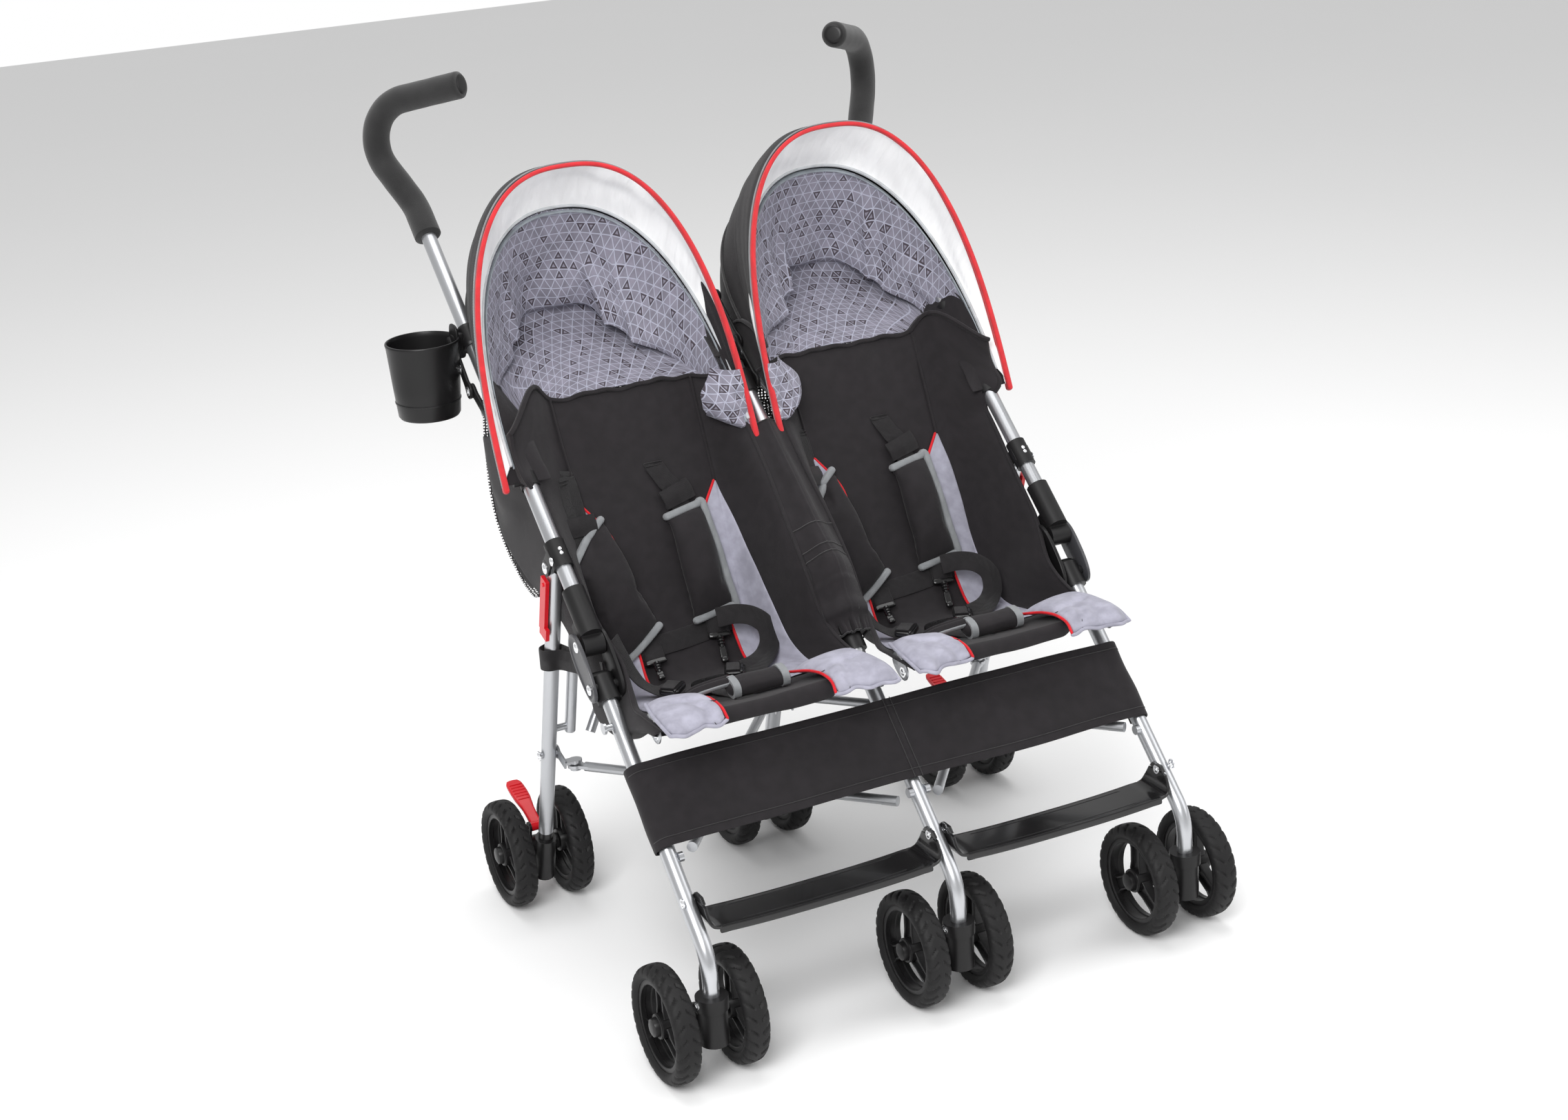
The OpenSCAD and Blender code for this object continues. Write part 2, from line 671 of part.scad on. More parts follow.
twin_wheel(MIDDLE, rear_axle, rear_twin, -1);  // rear_wheel_middle_left
twin_wheel(MIDDLE, rear_axle, rear_twin, 1);  // rear_wheel_middle_right
twin_wheel(RIGHT, rear_axle, rear_twin, -1);  // rear_wheel_right_inner
twin_wheel(RIGHT, rear_axle, rear_twin, 1);  // rear_wheel_right_outer
brake_pedal(LEFT);  // brake_pedal_left
brake_pedal(RIGHT);  // brake_pedal_right
fold_latch(LEFT);  // fold_latch_left
fold_latch(RIGHT);  // fold_latch_right
yaw_bracket(LEFT, bracket_pin, bracket_back, floor_pitch);  // floor_bracket_left
yaw_bracket(MIDDLE, bracket_pin, bracket_back, floor_pitch);  // floor_bracket_middle
yaw_bracket(RIGHT, bracket_pin, bracket_back, floor_pitch);  // floor_bracket_right
floor_bar(LEFT, 1);  // floor_bar_left_outer
floor_bar(MIDDLE, -1);  // floor_bar_left_inner
floor_bar(MIDDLE, 1);  // floor_bar_right_inner
floor_bar(RIGHT, -1);  // floor_bar_right_outer
yaw_bracket(LEFT, back_top, back_top, back_pitch);  // back_bracket_left
yaw_bracket(MIDDLE, back_top, back_top, back_pitch);  // back_bracket_middle
yaw_bracket(RIGHT, back_top, back_top, back_pitch);  // back_bracket_right
back_bar(LEFT, 1);  // back_bar_left_outer
back_bar(MIDDLE, -1);  // back_bar_left_inner
back_bar(MIDDLE, 1);  // back_bar_right_inner
back_bar(RIGHT, -1);  // back_bar_right_outer
grip(LEFT);  // grip_left
grip(RIGHT);  // grip_right
cup_holder();
seat(LEFT);  // seat_left
seat(RIGHT);  // seat_right
canopy_front(LEFT);  // canopy_front_left
canopy_front(RIGHT);  // canopy_front_right
canopy_hoods();
calf_panel();
footrests();
storage_bag();
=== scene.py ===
"""Finish, fabric and stage for a side-by-side double umbrella stroller.

Shapes are worked out in millimetres in the stroller's own plane system: x = 0 on the middle
frame, y = 0 half way between the front and rear axles, z = 0 on the floor. Front is -y.
"""

from functools import partial

import bmesh
import bpy
import numpy as np
from mathutils import Matrix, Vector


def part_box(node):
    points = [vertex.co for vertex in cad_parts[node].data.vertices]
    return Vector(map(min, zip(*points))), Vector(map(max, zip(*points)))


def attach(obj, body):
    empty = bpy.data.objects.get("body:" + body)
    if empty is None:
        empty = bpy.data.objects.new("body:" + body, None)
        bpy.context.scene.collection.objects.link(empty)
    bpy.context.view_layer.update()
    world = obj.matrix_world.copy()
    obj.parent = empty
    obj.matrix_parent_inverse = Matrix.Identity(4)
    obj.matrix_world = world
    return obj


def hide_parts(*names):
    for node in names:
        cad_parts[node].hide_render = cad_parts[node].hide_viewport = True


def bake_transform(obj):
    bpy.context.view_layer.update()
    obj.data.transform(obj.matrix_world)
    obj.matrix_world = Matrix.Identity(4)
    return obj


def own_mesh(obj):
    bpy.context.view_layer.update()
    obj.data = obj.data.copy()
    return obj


bl_info = {
    "name": "Double umbrella stroller finish",
    "version": (1, 0, 0),
    "blender": (4, 5, 0),
    "location": "View3D > Sidebar > Stroller",
    "description": "Wheels, grips, fabric, harness, trim and stage of an umbrella stroller for two",
    "category": "Object",
}

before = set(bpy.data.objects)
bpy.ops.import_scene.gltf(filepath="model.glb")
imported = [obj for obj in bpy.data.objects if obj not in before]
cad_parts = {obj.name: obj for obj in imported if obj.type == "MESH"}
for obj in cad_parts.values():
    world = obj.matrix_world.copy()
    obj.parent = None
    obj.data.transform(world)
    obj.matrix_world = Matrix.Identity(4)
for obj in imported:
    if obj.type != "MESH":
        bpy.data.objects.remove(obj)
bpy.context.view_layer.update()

LEFT, MIDDLE, RIGHT = -1, 0, 1
SIDE_NAMES = {LEFT: "left", MIDDLE: "middle", RIGHT: "right"}
MM = 0.001


def box_centre(node):
    """Middle of a CAD node's box, in metres."""
    low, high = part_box(node)
    return (np.array(low) + np.array(high)) / 2


# The middle frame's plane, half way between the axles, on the floor
ORIGIN = np.array([
    box_centre("upper_tube_middle")[0],
    (box_centre("front_wheel_left_outer")[1] + box_centre("rear_wheel_left_outer")[1]) / 2,
    0.0,
])
PITCH = (box_centre("caster_housing_right")[0] - ORIGIN[0]) / MM
TUBE_R = 9.5
KNUCKLE = np.array([-14.0, 443.0])
UPPER_SLOPE = 41.5
LOWER_SLOPE = 224.5
KNUCKLE_OFFSET = 11.0
AIR_FRAMES = 20                # frames that padding is blown up for
AIR_PRESSURE = 4.0
PADDING_VOXEL = 0.004          # metres
SEWN_REACH = 0.0035            # padding this near to a seam stays put, in metres


# ---------- shapes: every function works on whole arrays, in millimetres ----------


def unit(v):
    """Vectors divided by their lengths."""
    return v / np.maximum(np.linalg.norm(v, axis=-1, keepdims=True), 1e-9)


def smooth(x, low, high):
    """0 below low, 1 above high and 3k^2 - 2k^3 of the share k between them."""
    k = np.clip((np.asarray(x, float) - low) / (high - low), 0, 1)
    return k * k * (3 - 2 * k)


def bump_at(x, centre, width):
    """A bell of height 1: e to the minus square of the distance over the width."""
    return np.exp(-(((np.asarray(x, float) - centre) / width) ** 2))


def mix(a, b, k):
    return a + (b - a) * k


def sloped(origin, degrees, s, n, x=0.0):
    """Point s along and n square to a line that leaves origin at a slope in the side view."""
    c, d = np.cos(np.radians(degrees)), np.sin(np.radians(degrees))
    s, n, x = np.broadcast_arrays(np.asarray(s, float), n, x)
    return np.stack([x, origin[0] + s * c - n * d, origin[1] + s * d + n * c], -1)


def upper(s, n=0.0, x=0.0):
    return sloped(KNUCKLE, UPPER_SLOPE, s, KNUCKLE_OFFSET + np.asarray(n, float), x)


def lower(s, n=0.0, x=0.0):
    return sloped(KNUCKLE, LOWER_SLOPE, s, KNUCKLE_OFFSET + np.asarray(n, float), x)


UPPER_DIR = upper(1) - upper(0)
UPPER_OUT = upper(0, 1) - upper(0)
LOWER_DIR = lower(1) - lower(0)
LOWER_OUT = lower(0, -1) - lower(0)
LEG_PIVOT = upper(117, -24)
REAR_FOOT = np.array([0.0, 234.0, 42.0])
LEG_DIR = unit(REAR_FOOT - LEG_PIVOT)
LEG_LENGTH = np.linalg.norm(REAR_FOOT - LEG_PIVOT)


def through(stations, t):
    """Smooth value at t of a list of (t, value): on each stretch the cubic that has the
    values at its ends and, as slopes there, the slopes between the neighbouring stations."""
    places = np.array([row[0] for row in stations], float)
    values = np.array([np.atleast_1d(row[1]) for row in stations], float)
    slopes = np.gradient(values, places, axis=0)
    t = np.asarray(t, float)
    k = np.clip(np.searchsorted(places, t, "right") - 1, 0, len(places) - 2)
    h = places[k + 1] - places[k]
    s = np.clip((t - places[k]) / h, 0, 1)[..., None]
    h = h[..., None]
    return ((2 * s**3 - 3 * s**2 + 1) * values[k] + (s**3 - 2 * s**2 + s) * h * slopes[k]
            + (3 * s**2 - 2 * s**3) * values[k + 1] + (s**3 - s**2) * h * slopes[k + 1])


def curve(points, count):
    """Evenly spaced points on a smooth curve through the given ones."""
    points = np.asarray(points, float)
    gone = np.concatenate([[0], np.cumsum(np.linalg.norm(np.diff(points, axis=0), axis=1))])
    return through(list(zip(gone, points)), np.linspace(0, gone[-1], count))


def oval(width, height, power=2.0, steps=24):
    """Closed outline |x/a|^p + |y/b|^p = 1, counter-clockwise; p = 2 is an ellipse and
    larger powers come closer to a rectangle."""
    a = np.linspace(0, 2 * np.pi, steps + 1)
    c, s = np.cos(a), np.sin(a)
    return np.stack([
        width / 2 * np.sign(c) * np.abs(c) ** (2 / power),
        height / 2 * np.sign(s) * np.abs(s) ** (2 / power),
    ], -1)


def sweep(path, outline, facing=(0, 0, 1), size=1.0, ends="flat"):
    """Outline carried along a path: point = path + size x (x times across + y times up), where
    across is tangent x facing and up is across x tangent. Round ends are quarter circles."""
    path = np.asarray(path, float)
    tangent = unit(np.gradient(path, axis=0))
    facing = np.broadcast_to(np.asarray(facing, float), path.shape)
    across = unit(np.cross(tangent, facing))
    up = np.cross(across, tangent)
    size = np.broadcast_to(np.asarray(size, float).reshape(-1, 1 if np.ndim(size) < 2 else 2),
                           (len(path), 2))
    if ends == "round":
        depth = np.abs(outline).max(axis=0).min() * size.min(axis=1)
        turn = np.radians([0, 12, 30, 50, 70, 90])
        first = path[0] - tangent[0] * (depth[0] * np.cos(turn))[:, None]
        last = path[-1] + tangent[-1] * (depth[-1] * np.cos(turn[::-1]))[:, None]
        shrink = 1 - (1 - np.sin(turn)) * 0.999
        path = np.concatenate([first, path[1:-1], last])
        size = np.concatenate([size[0] * shrink[:, None], size[1:-1],
                               size[-1] * shrink[::-1, None]])
        pad = ((5, 5), (0, 0))
        across, up = np.pad(across, pad, "edge"), np.pad(up, pad, "edge")
    rings = (path[:, None] + (size[:, :1] * outline[None, :, 0])[..., None] * across[:, None]
             + (size[:, 1:] * outline[None, :, 1])[..., None] * up[:, None])
    if ends in ("flat", "round"):
        rings = np.concatenate([
            np.broadcast_to(rings[0].mean(axis=0), rings[:1].shape), rings,
            np.broadcast_to(rings[-1].mean(axis=0), rings[:1].shape)])
    return rings


def turned(profile, centre, axis, steps=32):
    """Profile of (radius, height) pairs turned once round an axis through centre."""
    profile = np.asarray(profile, float)
    axis = unit(np.asarray(axis, float))
    side = unit(np.cross(axis, [0.31, 0.52, 0.79]))
    other = np.cross(axis, side)
    a = np.linspace(0, 2 * np.pi, steps + 1)
    ring = np.cos(a)[:, None] * side + np.sin(a)[:, None] * other
    return (np.asarray(centre, float) + profile[:, :1, None] * ring[None]
            + profile[:, 1:, None] * axis[None, None])


def block(centre, half, axes=np.eye(3), power=7.0, steps=8):
    """Rounded box |x/a|^p + |y/b|^p + |z/c|^p = 1, from two angles as on a globe."""
    lat = np.linspace(-np.pi / 2, np.pi / 2, 2 * steps + 1)[:, None]
    lon = np.linspace(0, 2 * np.pi, 4 * steps + 1)[None]

    def soft(x):
        return np.sign(x) * np.abs(x) ** (2 / power)

    unit_shape = np.stack([soft(np.cos(lat)) * soft(np.cos(lon)),
                           soft(np.cos(lat)) * soft(np.sin(lon)),
                           soft(np.sin(lat)) * np.ones_like(lon)], -1)
    return np.asarray(centre, float) + (unit_shape * np.asarray(half, float)) @ np.asarray(axes)


def dished(centre, along, out, size, levels, power=2.6, steps=48, taper=0.0):
    """Plate on a face: ring k of the outline is scaled by levels[k][0] and stands
    levels[k][1] out from the face; taper narrows the plate towards one end."""
    along, out = unit(np.asarray(along, float)), unit(np.asarray(out, float))
    cross = np.cross(out, along)
    ring = oval(size[0], size[1], power, steps)
    narrow = 1 - taper * ring[:, 0] / size[0]
    levels = np.asarray(levels, float)
    flat = ring[:, :1] * along + (ring[:, 1] * narrow)[:, None] * cross
    return (np.asarray(centre, float) + levels[:, :1, None] * flat[None]
            + levels[:, 1:, None] * out[None, None])


def bent_path(points, radius, step=4.0):
    """Straight runs joined by arcs of one radius, as points about one step apart."""
    points = np.asarray(points, float)
    pieces = [points[:1]]
    for before, corner, after in zip(points, points[1:], points[2:]):
        into, out = unit(corner - before), unit(after - corner)
        angle = np.arccos(np.clip(into @ out, -1, 1))
        cut = radius * np.tan(angle / 2)
        centre = corner + unit(out - into) * radius / np.cos(angle / 2)
        a = np.linspace(0, angle, max(4, int(radius * angle / step)))[:, None]
        start = corner - into * cut - centre
        pieces.append(centre + np.cos(a) * start + np.sin(a) * into * radius)
    pieces.append(points[-1:])
    rough = np.concatenate(pieces)
    gone = np.concatenate([[0], np.cumsum(np.linalg.norm(np.diff(rough, axis=0), axis=1))])
    even = np.linspace(0, gone[-1], int(gone[-1] / step) + 2)
    return np.stack([np.interp(even, gone, rough[:, k]) for k in range(3)], -1)


def normals(points):
    """Unit normals of a grid: rows' direction x columns' direction."""
    return unit(np.cross(np.gradient(points, axis=0), np.gradient(points, axis=1)))


def crumple(u, v, seed=0.0):
    """Soft creases between -1 and 1: three crossed waves whose phases bend each other."""
    u, v = np.broadcast_arrays(np.asarray(u, float), np.asarray(v, float))
    bend = np.sin(1.7 * v + 0.9 * seed) + 0.6 * np.sin(2.3 * u - seed)
    return (np.sin(u + 1.1 * bend + seed) + np.sin(1.9 * v - 0.8 * bend + 2.1 * seed)
            + np.sin(1.3 * (u + v) + 0.7 * bend)) / 3


# ---------- meshes ----------


def placed(points):
    """Millimetres in the stroller's planes to metres in the shared frame."""
    return np.asarray(points, float) * MM + ORIGIN


def patch(points, material=0, print_map=None):
    """Quads of a grid, with UVs that measure metres along its rows and columns, or with the
    print's own map, given in millimetres."""
    spots = placed(points)
    rows, cols = spots.shape[:2]
    u = np.pad(np.cumsum(np.linalg.norm(np.diff(spots, axis=1), axis=2), axis=1), ((0, 0), (1, 0)))
    v = np.pad(np.cumsum(np.linalg.norm(np.diff(spots, axis=0), axis=2), axis=0), ((1, 0), (0, 0)))
    uv = np.stack([u - u[:, cols // 2:cols // 2 + 1], v], -1).reshape(-1, 2)
    if print_map is not None:
        uv = print_map.reshape(-1, 2) * MM
    index = np.arange(rows * cols).reshape(rows, cols)
    quads = np.stack([index[:-1, :-1], index[1:, :-1], index[1:, 1:], index[:-1, 1:]], -1)
    quads = quads.reshape(-1, 4)
    return spots.reshape(-1, 3), quads, uv[quads].reshape(-1, 2), np.full(len(quads), material)


def strip(path, section, facing, material=0, size=1.0, ends="round"):
    """Patch of a cord, tape or bar along a path; section holds oval's own values."""
    return patch(sweep(path, oval(*section), facing, size, ends), material)


def piece(name, patches, body, kinds, fold=False, wall=0.0, levels=0, sharp=40.0,
          swell=0.0, sewn=None):
    """One object from patches, in the finishes of the given kinds: doubles are merged, faces
    turned outwards, and a sheet gets its wall. A padded form swells by up to a number of
    millimetres, but not at its sewn points. It rides on a body, when one is given."""
    start = np.cumsum([0] + [len(p[0]) for p in patches])
    mesh = bpy.data.meshes.new(name)
    mesh.from_pydata(np.concatenate([p[0] for p in patches]), [],
                     np.concatenate([p[1] + at for p, at in zip(patches, start)]))
    layer = mesh.uv_layers.new(name="UVMap")
    layer.data.foreach_set("uv", np.concatenate([p[2] for p in patches]).ravel())
    mesh.polygons.foreach_set("material_index", np.concatenate([p[3] for p in patches]))
    shape = bmesh.new()
    shape.from_mesh(mesh)
    bmesh.ops.remove_doubles(shape, verts=shape.verts, dist=0.00002)
    bmesh.ops.dissolve_degenerate(shape, edges=shape.edges, dist=0.00001)
    bmesh.ops.recalc_face_normals(shape, faces=shape.faces)
    shape.to_mesh(mesh)
    shape.free()
    for kind in kinds:
        mesh.materials.append(finish(kind))
    mesh.shade_smooth()
    mesh.set_sharp_from_angle(angle=np.radians(sharp))
    obj = bpy.data.objects.new(name, mesh)
    bpy.context.scene.collection.objects.link(obj)
    if swell:
        fill_with_air(obj, swell, sewn)
    return finish_piece(obj, body, fold, wall, levels)


def spots_of(obj):
    """Vertex positions of an object's mesh as an array."""
    spots = np.empty(len(obj.data.vertices) * 3)
    obj.data.vertices.foreach_get("co", spots)
    return spots.reshape(-1, 3)


def apply_modifiers(obj):
    """The object's mesh becomes what its modifiers make of it on this frame."""
    seen = obj.evaluated_get(bpy.context.evaluated_depsgraph_get())
    mesh = bpy.data.meshes.new_from_object(seen)
    obj.modifiers.clear()
    obj.data = mesh


def fill_with_air(obj, swell, sewn):
    """Padding: the form is remeshed and blown up as cloth; each point then goes
    from where it was by min(1, swell / distance) of its way. Sewn points stay put."""
    scene = bpy.context.scene
    remesh = obj.modifiers.new("Remesh", "REMESH")
    remesh.mode, remesh.voxel_size = "VOXEL", PADDING_VOXEL
    apply_modifiers(obj)
    before = spots_of(obj)
    cloth = obj.modifiers.new("Cloth", "CLOTH")
    cloth.settings.use_pressure = True
    cloth.settings.uniform_pressure_force = AIR_PRESSURE
    cloth.settings.effector_weights.gravity = 0
    cloth.settings.quality = 6
    cloth.point_cache.frame_start, cloth.point_cache.frame_end = 1, AIR_FRAMES
    if sewn is not None:
        seams = placed(sewn).reshape(-1, 3)
        gap = np.concatenate([np.linalg.norm(part[:, None] - seams[None], axis=2).min(axis=1)
                              for part in np.array_split(before, len(before) // 1000 + 1)])
        held = obj.vertex_groups.new(name="Sewn")
        held.add(np.flatnonzero(gap < SEWN_REACH).tolist(), 1.0, "REPLACE")
        cloth.settings.vertex_group_mass = "Sewn"
    for number in range(1, AIR_FRAMES + 1):
        scene.frame_set(number)
    apply_modifiers(obj)
    scene.frame_set(1)
    obj.vertex_groups.clear()
    move = spots_of(obj) - before
    way = np.linalg.norm(move, axis=1, keepdims=True)
    after = before + move * np.minimum(1, swell * MM / np.maximum(way, 1e-9))
    obj.data.vertices.foreach_set("co", after.ravel())
    obj.data.shade_smooth()


def finish_piece(obj, body, fold=False, wall=0.0, levels=0):
    """Wall, subdivision and body of a finished mesh, and with fold a mesh of its own; a piece
    given no body is left unattached here."""
    if wall:
        solid = obj.modifiers.new("Wall", "SOLIDIFY")
        solid.thickness, solid.offset = wall * MM, 0
    if levels:
        soft = obj.modifiers.new("Soft", "SUBSURF")
        soft.levels = soft.render_levels = levels
    if body:
        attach(obj, body)
    if fold:
        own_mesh(obj)
    return obj


def sheet(name, grid, body, kind, stands_for=None, print_at=None,
          fold=True, wall=0.0, levels=1):
    """A piece of cloth from one grid; the CAD part that it stands for, if given, is hidden."""
    made = piece(name, [patch(grid, 0, print_at)], body, [kind], fold=fold, wall=wall,
                 levels=levels)
    if stands_for:
        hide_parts(stands_for)
    return made


def padded(name, grid, kind, slot, swell, fill, sewn=None):
    """A filled pillow from one closed grid; the share of its box that it fills is not used."""
    piece(name, [patch(grid)], "mid_frame", [kind], fold=True, levels=1, sharp=80,
                    swell=swell, sewn=sewn)


# ---------- materials: node groups for the shared effects, Principled in each material ----------


def add(tree, kind, inputs=None, **settings):
    """A node with its settings and its inputs: another node's socket is linked, a plain value
    is set. Inputs are given by name or number."""
    node = tree.nodes.new("ShaderNode" + kind)
    for key, value in settings.items():
        setattr(node, key, value)
    for key, value in (inputs or {}).items():
        socket = node.inputs[key]
        if isinstance(value, bpy.types.NodeSocket):
            tree.links.new(value, socket)
        else:
            socket.default_value = value
    return node


def maths(tree, operation, a, b=0.0, c=0.0):
    return add(tree, "Math", {0: a, 1: b, 2: c}, operation=operation).outputs[0]


def ramp(tree, value, low, high, to_low=0.0, to_high=1.0):
    """Value eased from low..high to to_low..to_high."""
    node = add(tree, "MapRange", {"Value": value, "From Min": low, "From Max": high,
                                  "To Min": to_low, "To Max": to_high},
               interpolation_type="SMOOTHSTEP")
    return node.outputs["Result"]


def blended(tree, factor, a, b):
    node = add(tree, "Mix", {0: factor, 6: a, 7: b}, data_type="RGBA")
    return node.outputs[2]


def group(name, inputs, outputs, fill):
    """A node group with named sockets; fill builds it and gives each output's source."""
    found = bpy.data.node_groups.get(name)
    if found:
        return found
    tree = bpy.data.node_groups.new(name, "ShaderNodeTree")
    for label, kind, default in inputs:
        socket = tree.interface.new_socket(label, in_out="INPUT", socket_type="NodeSocket" + kind)
        if default is not None:
            socket.default_value = default
    for label, kind in outputs:
        tree.interface.new_socket(label, in_out="OUTPUT", socket_type="NodeSocket" + kind)
    start = tree.nodes.new("NodeGroupInput")
    end = tree.nodes.new("NodeGroupOutput")
    for label, source in fill(tree, start.outputs).items():
        tree.links.new(source, end.inputs[label])
    return tree


def use(tree, made, inputs):
    node = tree.nodes.new("ShaderNodeGroup")
    node.node_tree = made
    for key, value in inputs.items():
        if isinstance(value, bpy.types.NodeSocket):
            tree.links.new(value, node.inputs[key])
        else:
            node.inputs[key].default_value = value
    return node.outputs


def weave_group():
    """Plain weave: warp and weft threads pass over each other in a checkerboard."""
    def fill(tree, given):
        spread = add(tree, "VectorMath", {0: given["Vector"], "Scale": given["Threads"]},
                     operation="SCALE").outputs[0]
        parts = add(tree, "SeparateXYZ", {0: spread}).outputs
        warp = maths(tree, "ABSOLUTE", maths(tree, "SINE",
                                             maths(tree, "MULTIPLY", parts[0], np.pi)))
        weft = maths(tree, "ABSOLUTE", maths(tree, "SINE",
                                             maths(tree, "MULTIPLY", parts[1], np.pi)))
        check = add(tree, "TexChecker", {"Vector": spread, "Scale": 1.0}).outputs["Fac"]
        over = maths(tree, "MULTIPLY", warp, check)
        under = maths(tree, "MULTIPLY", weft, maths(tree, "SUBTRACT", 1.0, check))
        height = maths(tree, "ADD", over, under)
        slub = add(tree, "TexNoise", {"Vector": given["Vector"], "Scale": 60.0, "Detail": 3.0})
        return {"Height": height, "Shade": ramp(tree, slub.outputs["Fac"], 0.3, 0.7, 0.88, 1.1)}
    return group("Weave", [("Vector", "Vector", None), ("Threads", "Float", 1600.0)],
                 [("Height", "Float"), ("Shade", "Float")], fill)


def crease_group():
    """Soft creases of cloth: two sizes of bent noise, and the painted shade that lies in them,
    with painted light on their ridges.
    """
    def fill(tree, given):
        broad = add(tree, "TexNoise", {"Vector": given["Vector"], "Scale": given["Scale"],
                                       "Detail": 2.0, "Distortion": 0.8}).outputs["Fac"]
        fine_scale = maths(tree, "MULTIPLY", given["Scale"], 3.6)
        fine = add(tree, "TexNoise", {"Vector": given["Vector"], "Scale": fine_scale,
                                      "Detail": 3.0, "Distortion": 1.4}).outputs["Fac"]
        height = maths(tree, "MULTIPLY_ADD", fine, 0.35, broad)
        # Shade: colour painted darker in the creases as shade and lighter on their ridges.
        return {"Height": height, "Shade": ramp(tree, height, 0.45, 0.9, 0.9, 1.07)}
    return group("Creases", [("Vector", "Vector", None), ("Scale", "Float", 9.0)],
                 [("Height", "Float"), ("Shade", "Float")], fill)


def grain_group():
    """Fine pebbled grain of moulded plastic, with a slow change of gloss."""
    def fill(tree, given):
        pebble = add(tree, "TexVoronoi", {"Vector": given["Vector"], "Scale": given["Scale"],
                                          "Smoothness": 0.6}, feature="SMOOTH_F1")
        handled = add(tree, "TexNoise", {"Vector": given["Vector"], "Scale": 14.0, "Detail": 4.0})
        return {"Height": pebble.outputs["Distance"],
                "Gloss": ramp(tree, handled.outputs["Fac"], 0.35, 0.7, -0.05, 0.07)}
    return group("Moulded grain", [("Vector", "Vector", None), ("Scale", "Float", 1400.0)],
                 [("Height", "Float"), ("Gloss", "Float")], fill)


def wear_group():
    """Rubbed edges: 0 on flats, towards 1 where a rounded normal leaves the true one, broken
    up by noise."""
    def fill(tree, given):
        rounded = add(tree, "Bevel", {"Radius": given["Radius"]}, samples=4).outputs[0]
        true = add(tree, "NewGeometry").outputs["Normal"]
        same = add(tree, "VectorMath", {0: rounded, 1: true},
                   operation="DOT_PRODUCT").outputs["Value"]
        edge = ramp(tree, same, 0.99, 0.75)
        patchy = add(tree, "TexNoise", {"Vector": given["Vector"], "Scale": 90.0, "Detail": 5.0})
        return {"Mask": maths(tree, "MULTIPLY", edge,
                              ramp(tree, patchy.outputs["Fac"], 0.38, 0.62))}
    return group("Edge wear", [("Vector", "Vector", None), ("Radius", "Float", 0.0008)],
                 [("Mask", "Float")], fill)


def drawn_group():
    """Drawn and anodised tube: long faint lines along the tube and a cloudy gloss."""
    def fill(tree, given):
        parts = add(tree, "SeparateXYZ", {0: given["Vector"]}).outputs
        slow = maths(tree, "MULTIPLY", parts[1], 0.02)
        line = add(tree, "CombineXYZ", {0: parts[0], 1: slow, 2: parts[2]}).outputs[0]
        lines = add(tree, "TexNoise", {"Vector": line, "Scale": 900.0, "Detail": 2.0})
        cloud = add(tree, "TexNoise", {"Vector": given["Vector"], "Scale": 11.0, "Detail": 4.0})
        return {"Height": lines.outputs["Fac"],
                "Gloss": ramp(tree, cloud.outputs["Fac"], 0.3, 0.7, -0.05, 0.06)}
    return group("Drawn tube", [("Vector", "Vector", None)],
                 [("Height", "Float"), ("Gloss", "Float")], fill)


def stitch_group():
    """Stitches in a row along v at one place across u: thread mask and the dip it pulls."""
    def fill(tree, given):
        parts = add(tree, "SeparateXYZ", {0: given["Vector"]}).outputs
        off = maths(tree, "ABSOLUTE", maths(tree, "SUBTRACT", parts[0], given["Place"]))
        row = ramp(tree, off, 0.0007, 0.0004)
        step = maths(tree, "FRACT", maths(tree, "DIVIDE", parts[1], given["Length"]))
        thread = maths(tree, "MULTIPLY", ramp(tree, step, 0.08, 0.16), ramp(tree, step, 0.78, 0.7))
        dip = ramp(tree, off, 0.0022, 0.0003)
        return {"Mask": maths(tree, "MULTIPLY", row, thread), "Dip": dip}
    return group("Stitches", [("Vector", "Vector", None), ("Place", "Float", 0.0),
                              ("Length", "Float", 0.0032)],
                 [("Mask", "Float"), ("Dip", "Float")], fill)


def lattice_group():
    """Triangle lattice: pale lines in three directions, and dark outlines inside a few cells."""
    def fill(tree, given):
        near = None
        cells = []
        for degrees in (90, 210, 330):
            a = np.radians(degrees)
            across = add(tree, "VectorMath", {0: given["Vector"], 1: (np.cos(a), np.sin(a), 0)},
                         operation="DOT_PRODUCT").outputs["Value"]
            steps = maths(tree, "DIVIDE", across, given["Cell"])
            cells.append(maths(tree, "FLOOR", steps))
            part = maths(tree, "FRACT", steps)
            gap = maths(tree, "MINIMUM", part, maths(tree, "SUBTRACT", 1.0, part))
            near = gap if near is None else maths(tree, "MINIMUM", near, gap)
        cell = add(tree, "CombineXYZ", {0: cells[0], 1: cells[1], 2: cells[2]}).outputs[0]
        chance = add(tree, "TexWhiteNoise", {"Vector": cell},
                     noise_dimensions="3D").outputs["Value"]
        band = maths(tree, "MULTIPLY", ramp(tree, near, 0.05, 0.08), ramp(tree, near, 0.235, 0.205))
        chosen = maths(tree, "GREATER_THAN", chance, 0.82)
        return {"Lines": ramp(tree, near, 0.06, 0.03),
                "Accent": maths(tree, "MULTIPLY", band, chosen),
                "Tone": chance}
    return group("Triangle lattice", [("Vector", "Vector", None), ("Cell", "Float", 0.009)],
                 [("Lines", "Float"), ("Accent", "Float"), ("Tone", "Float")], fill)


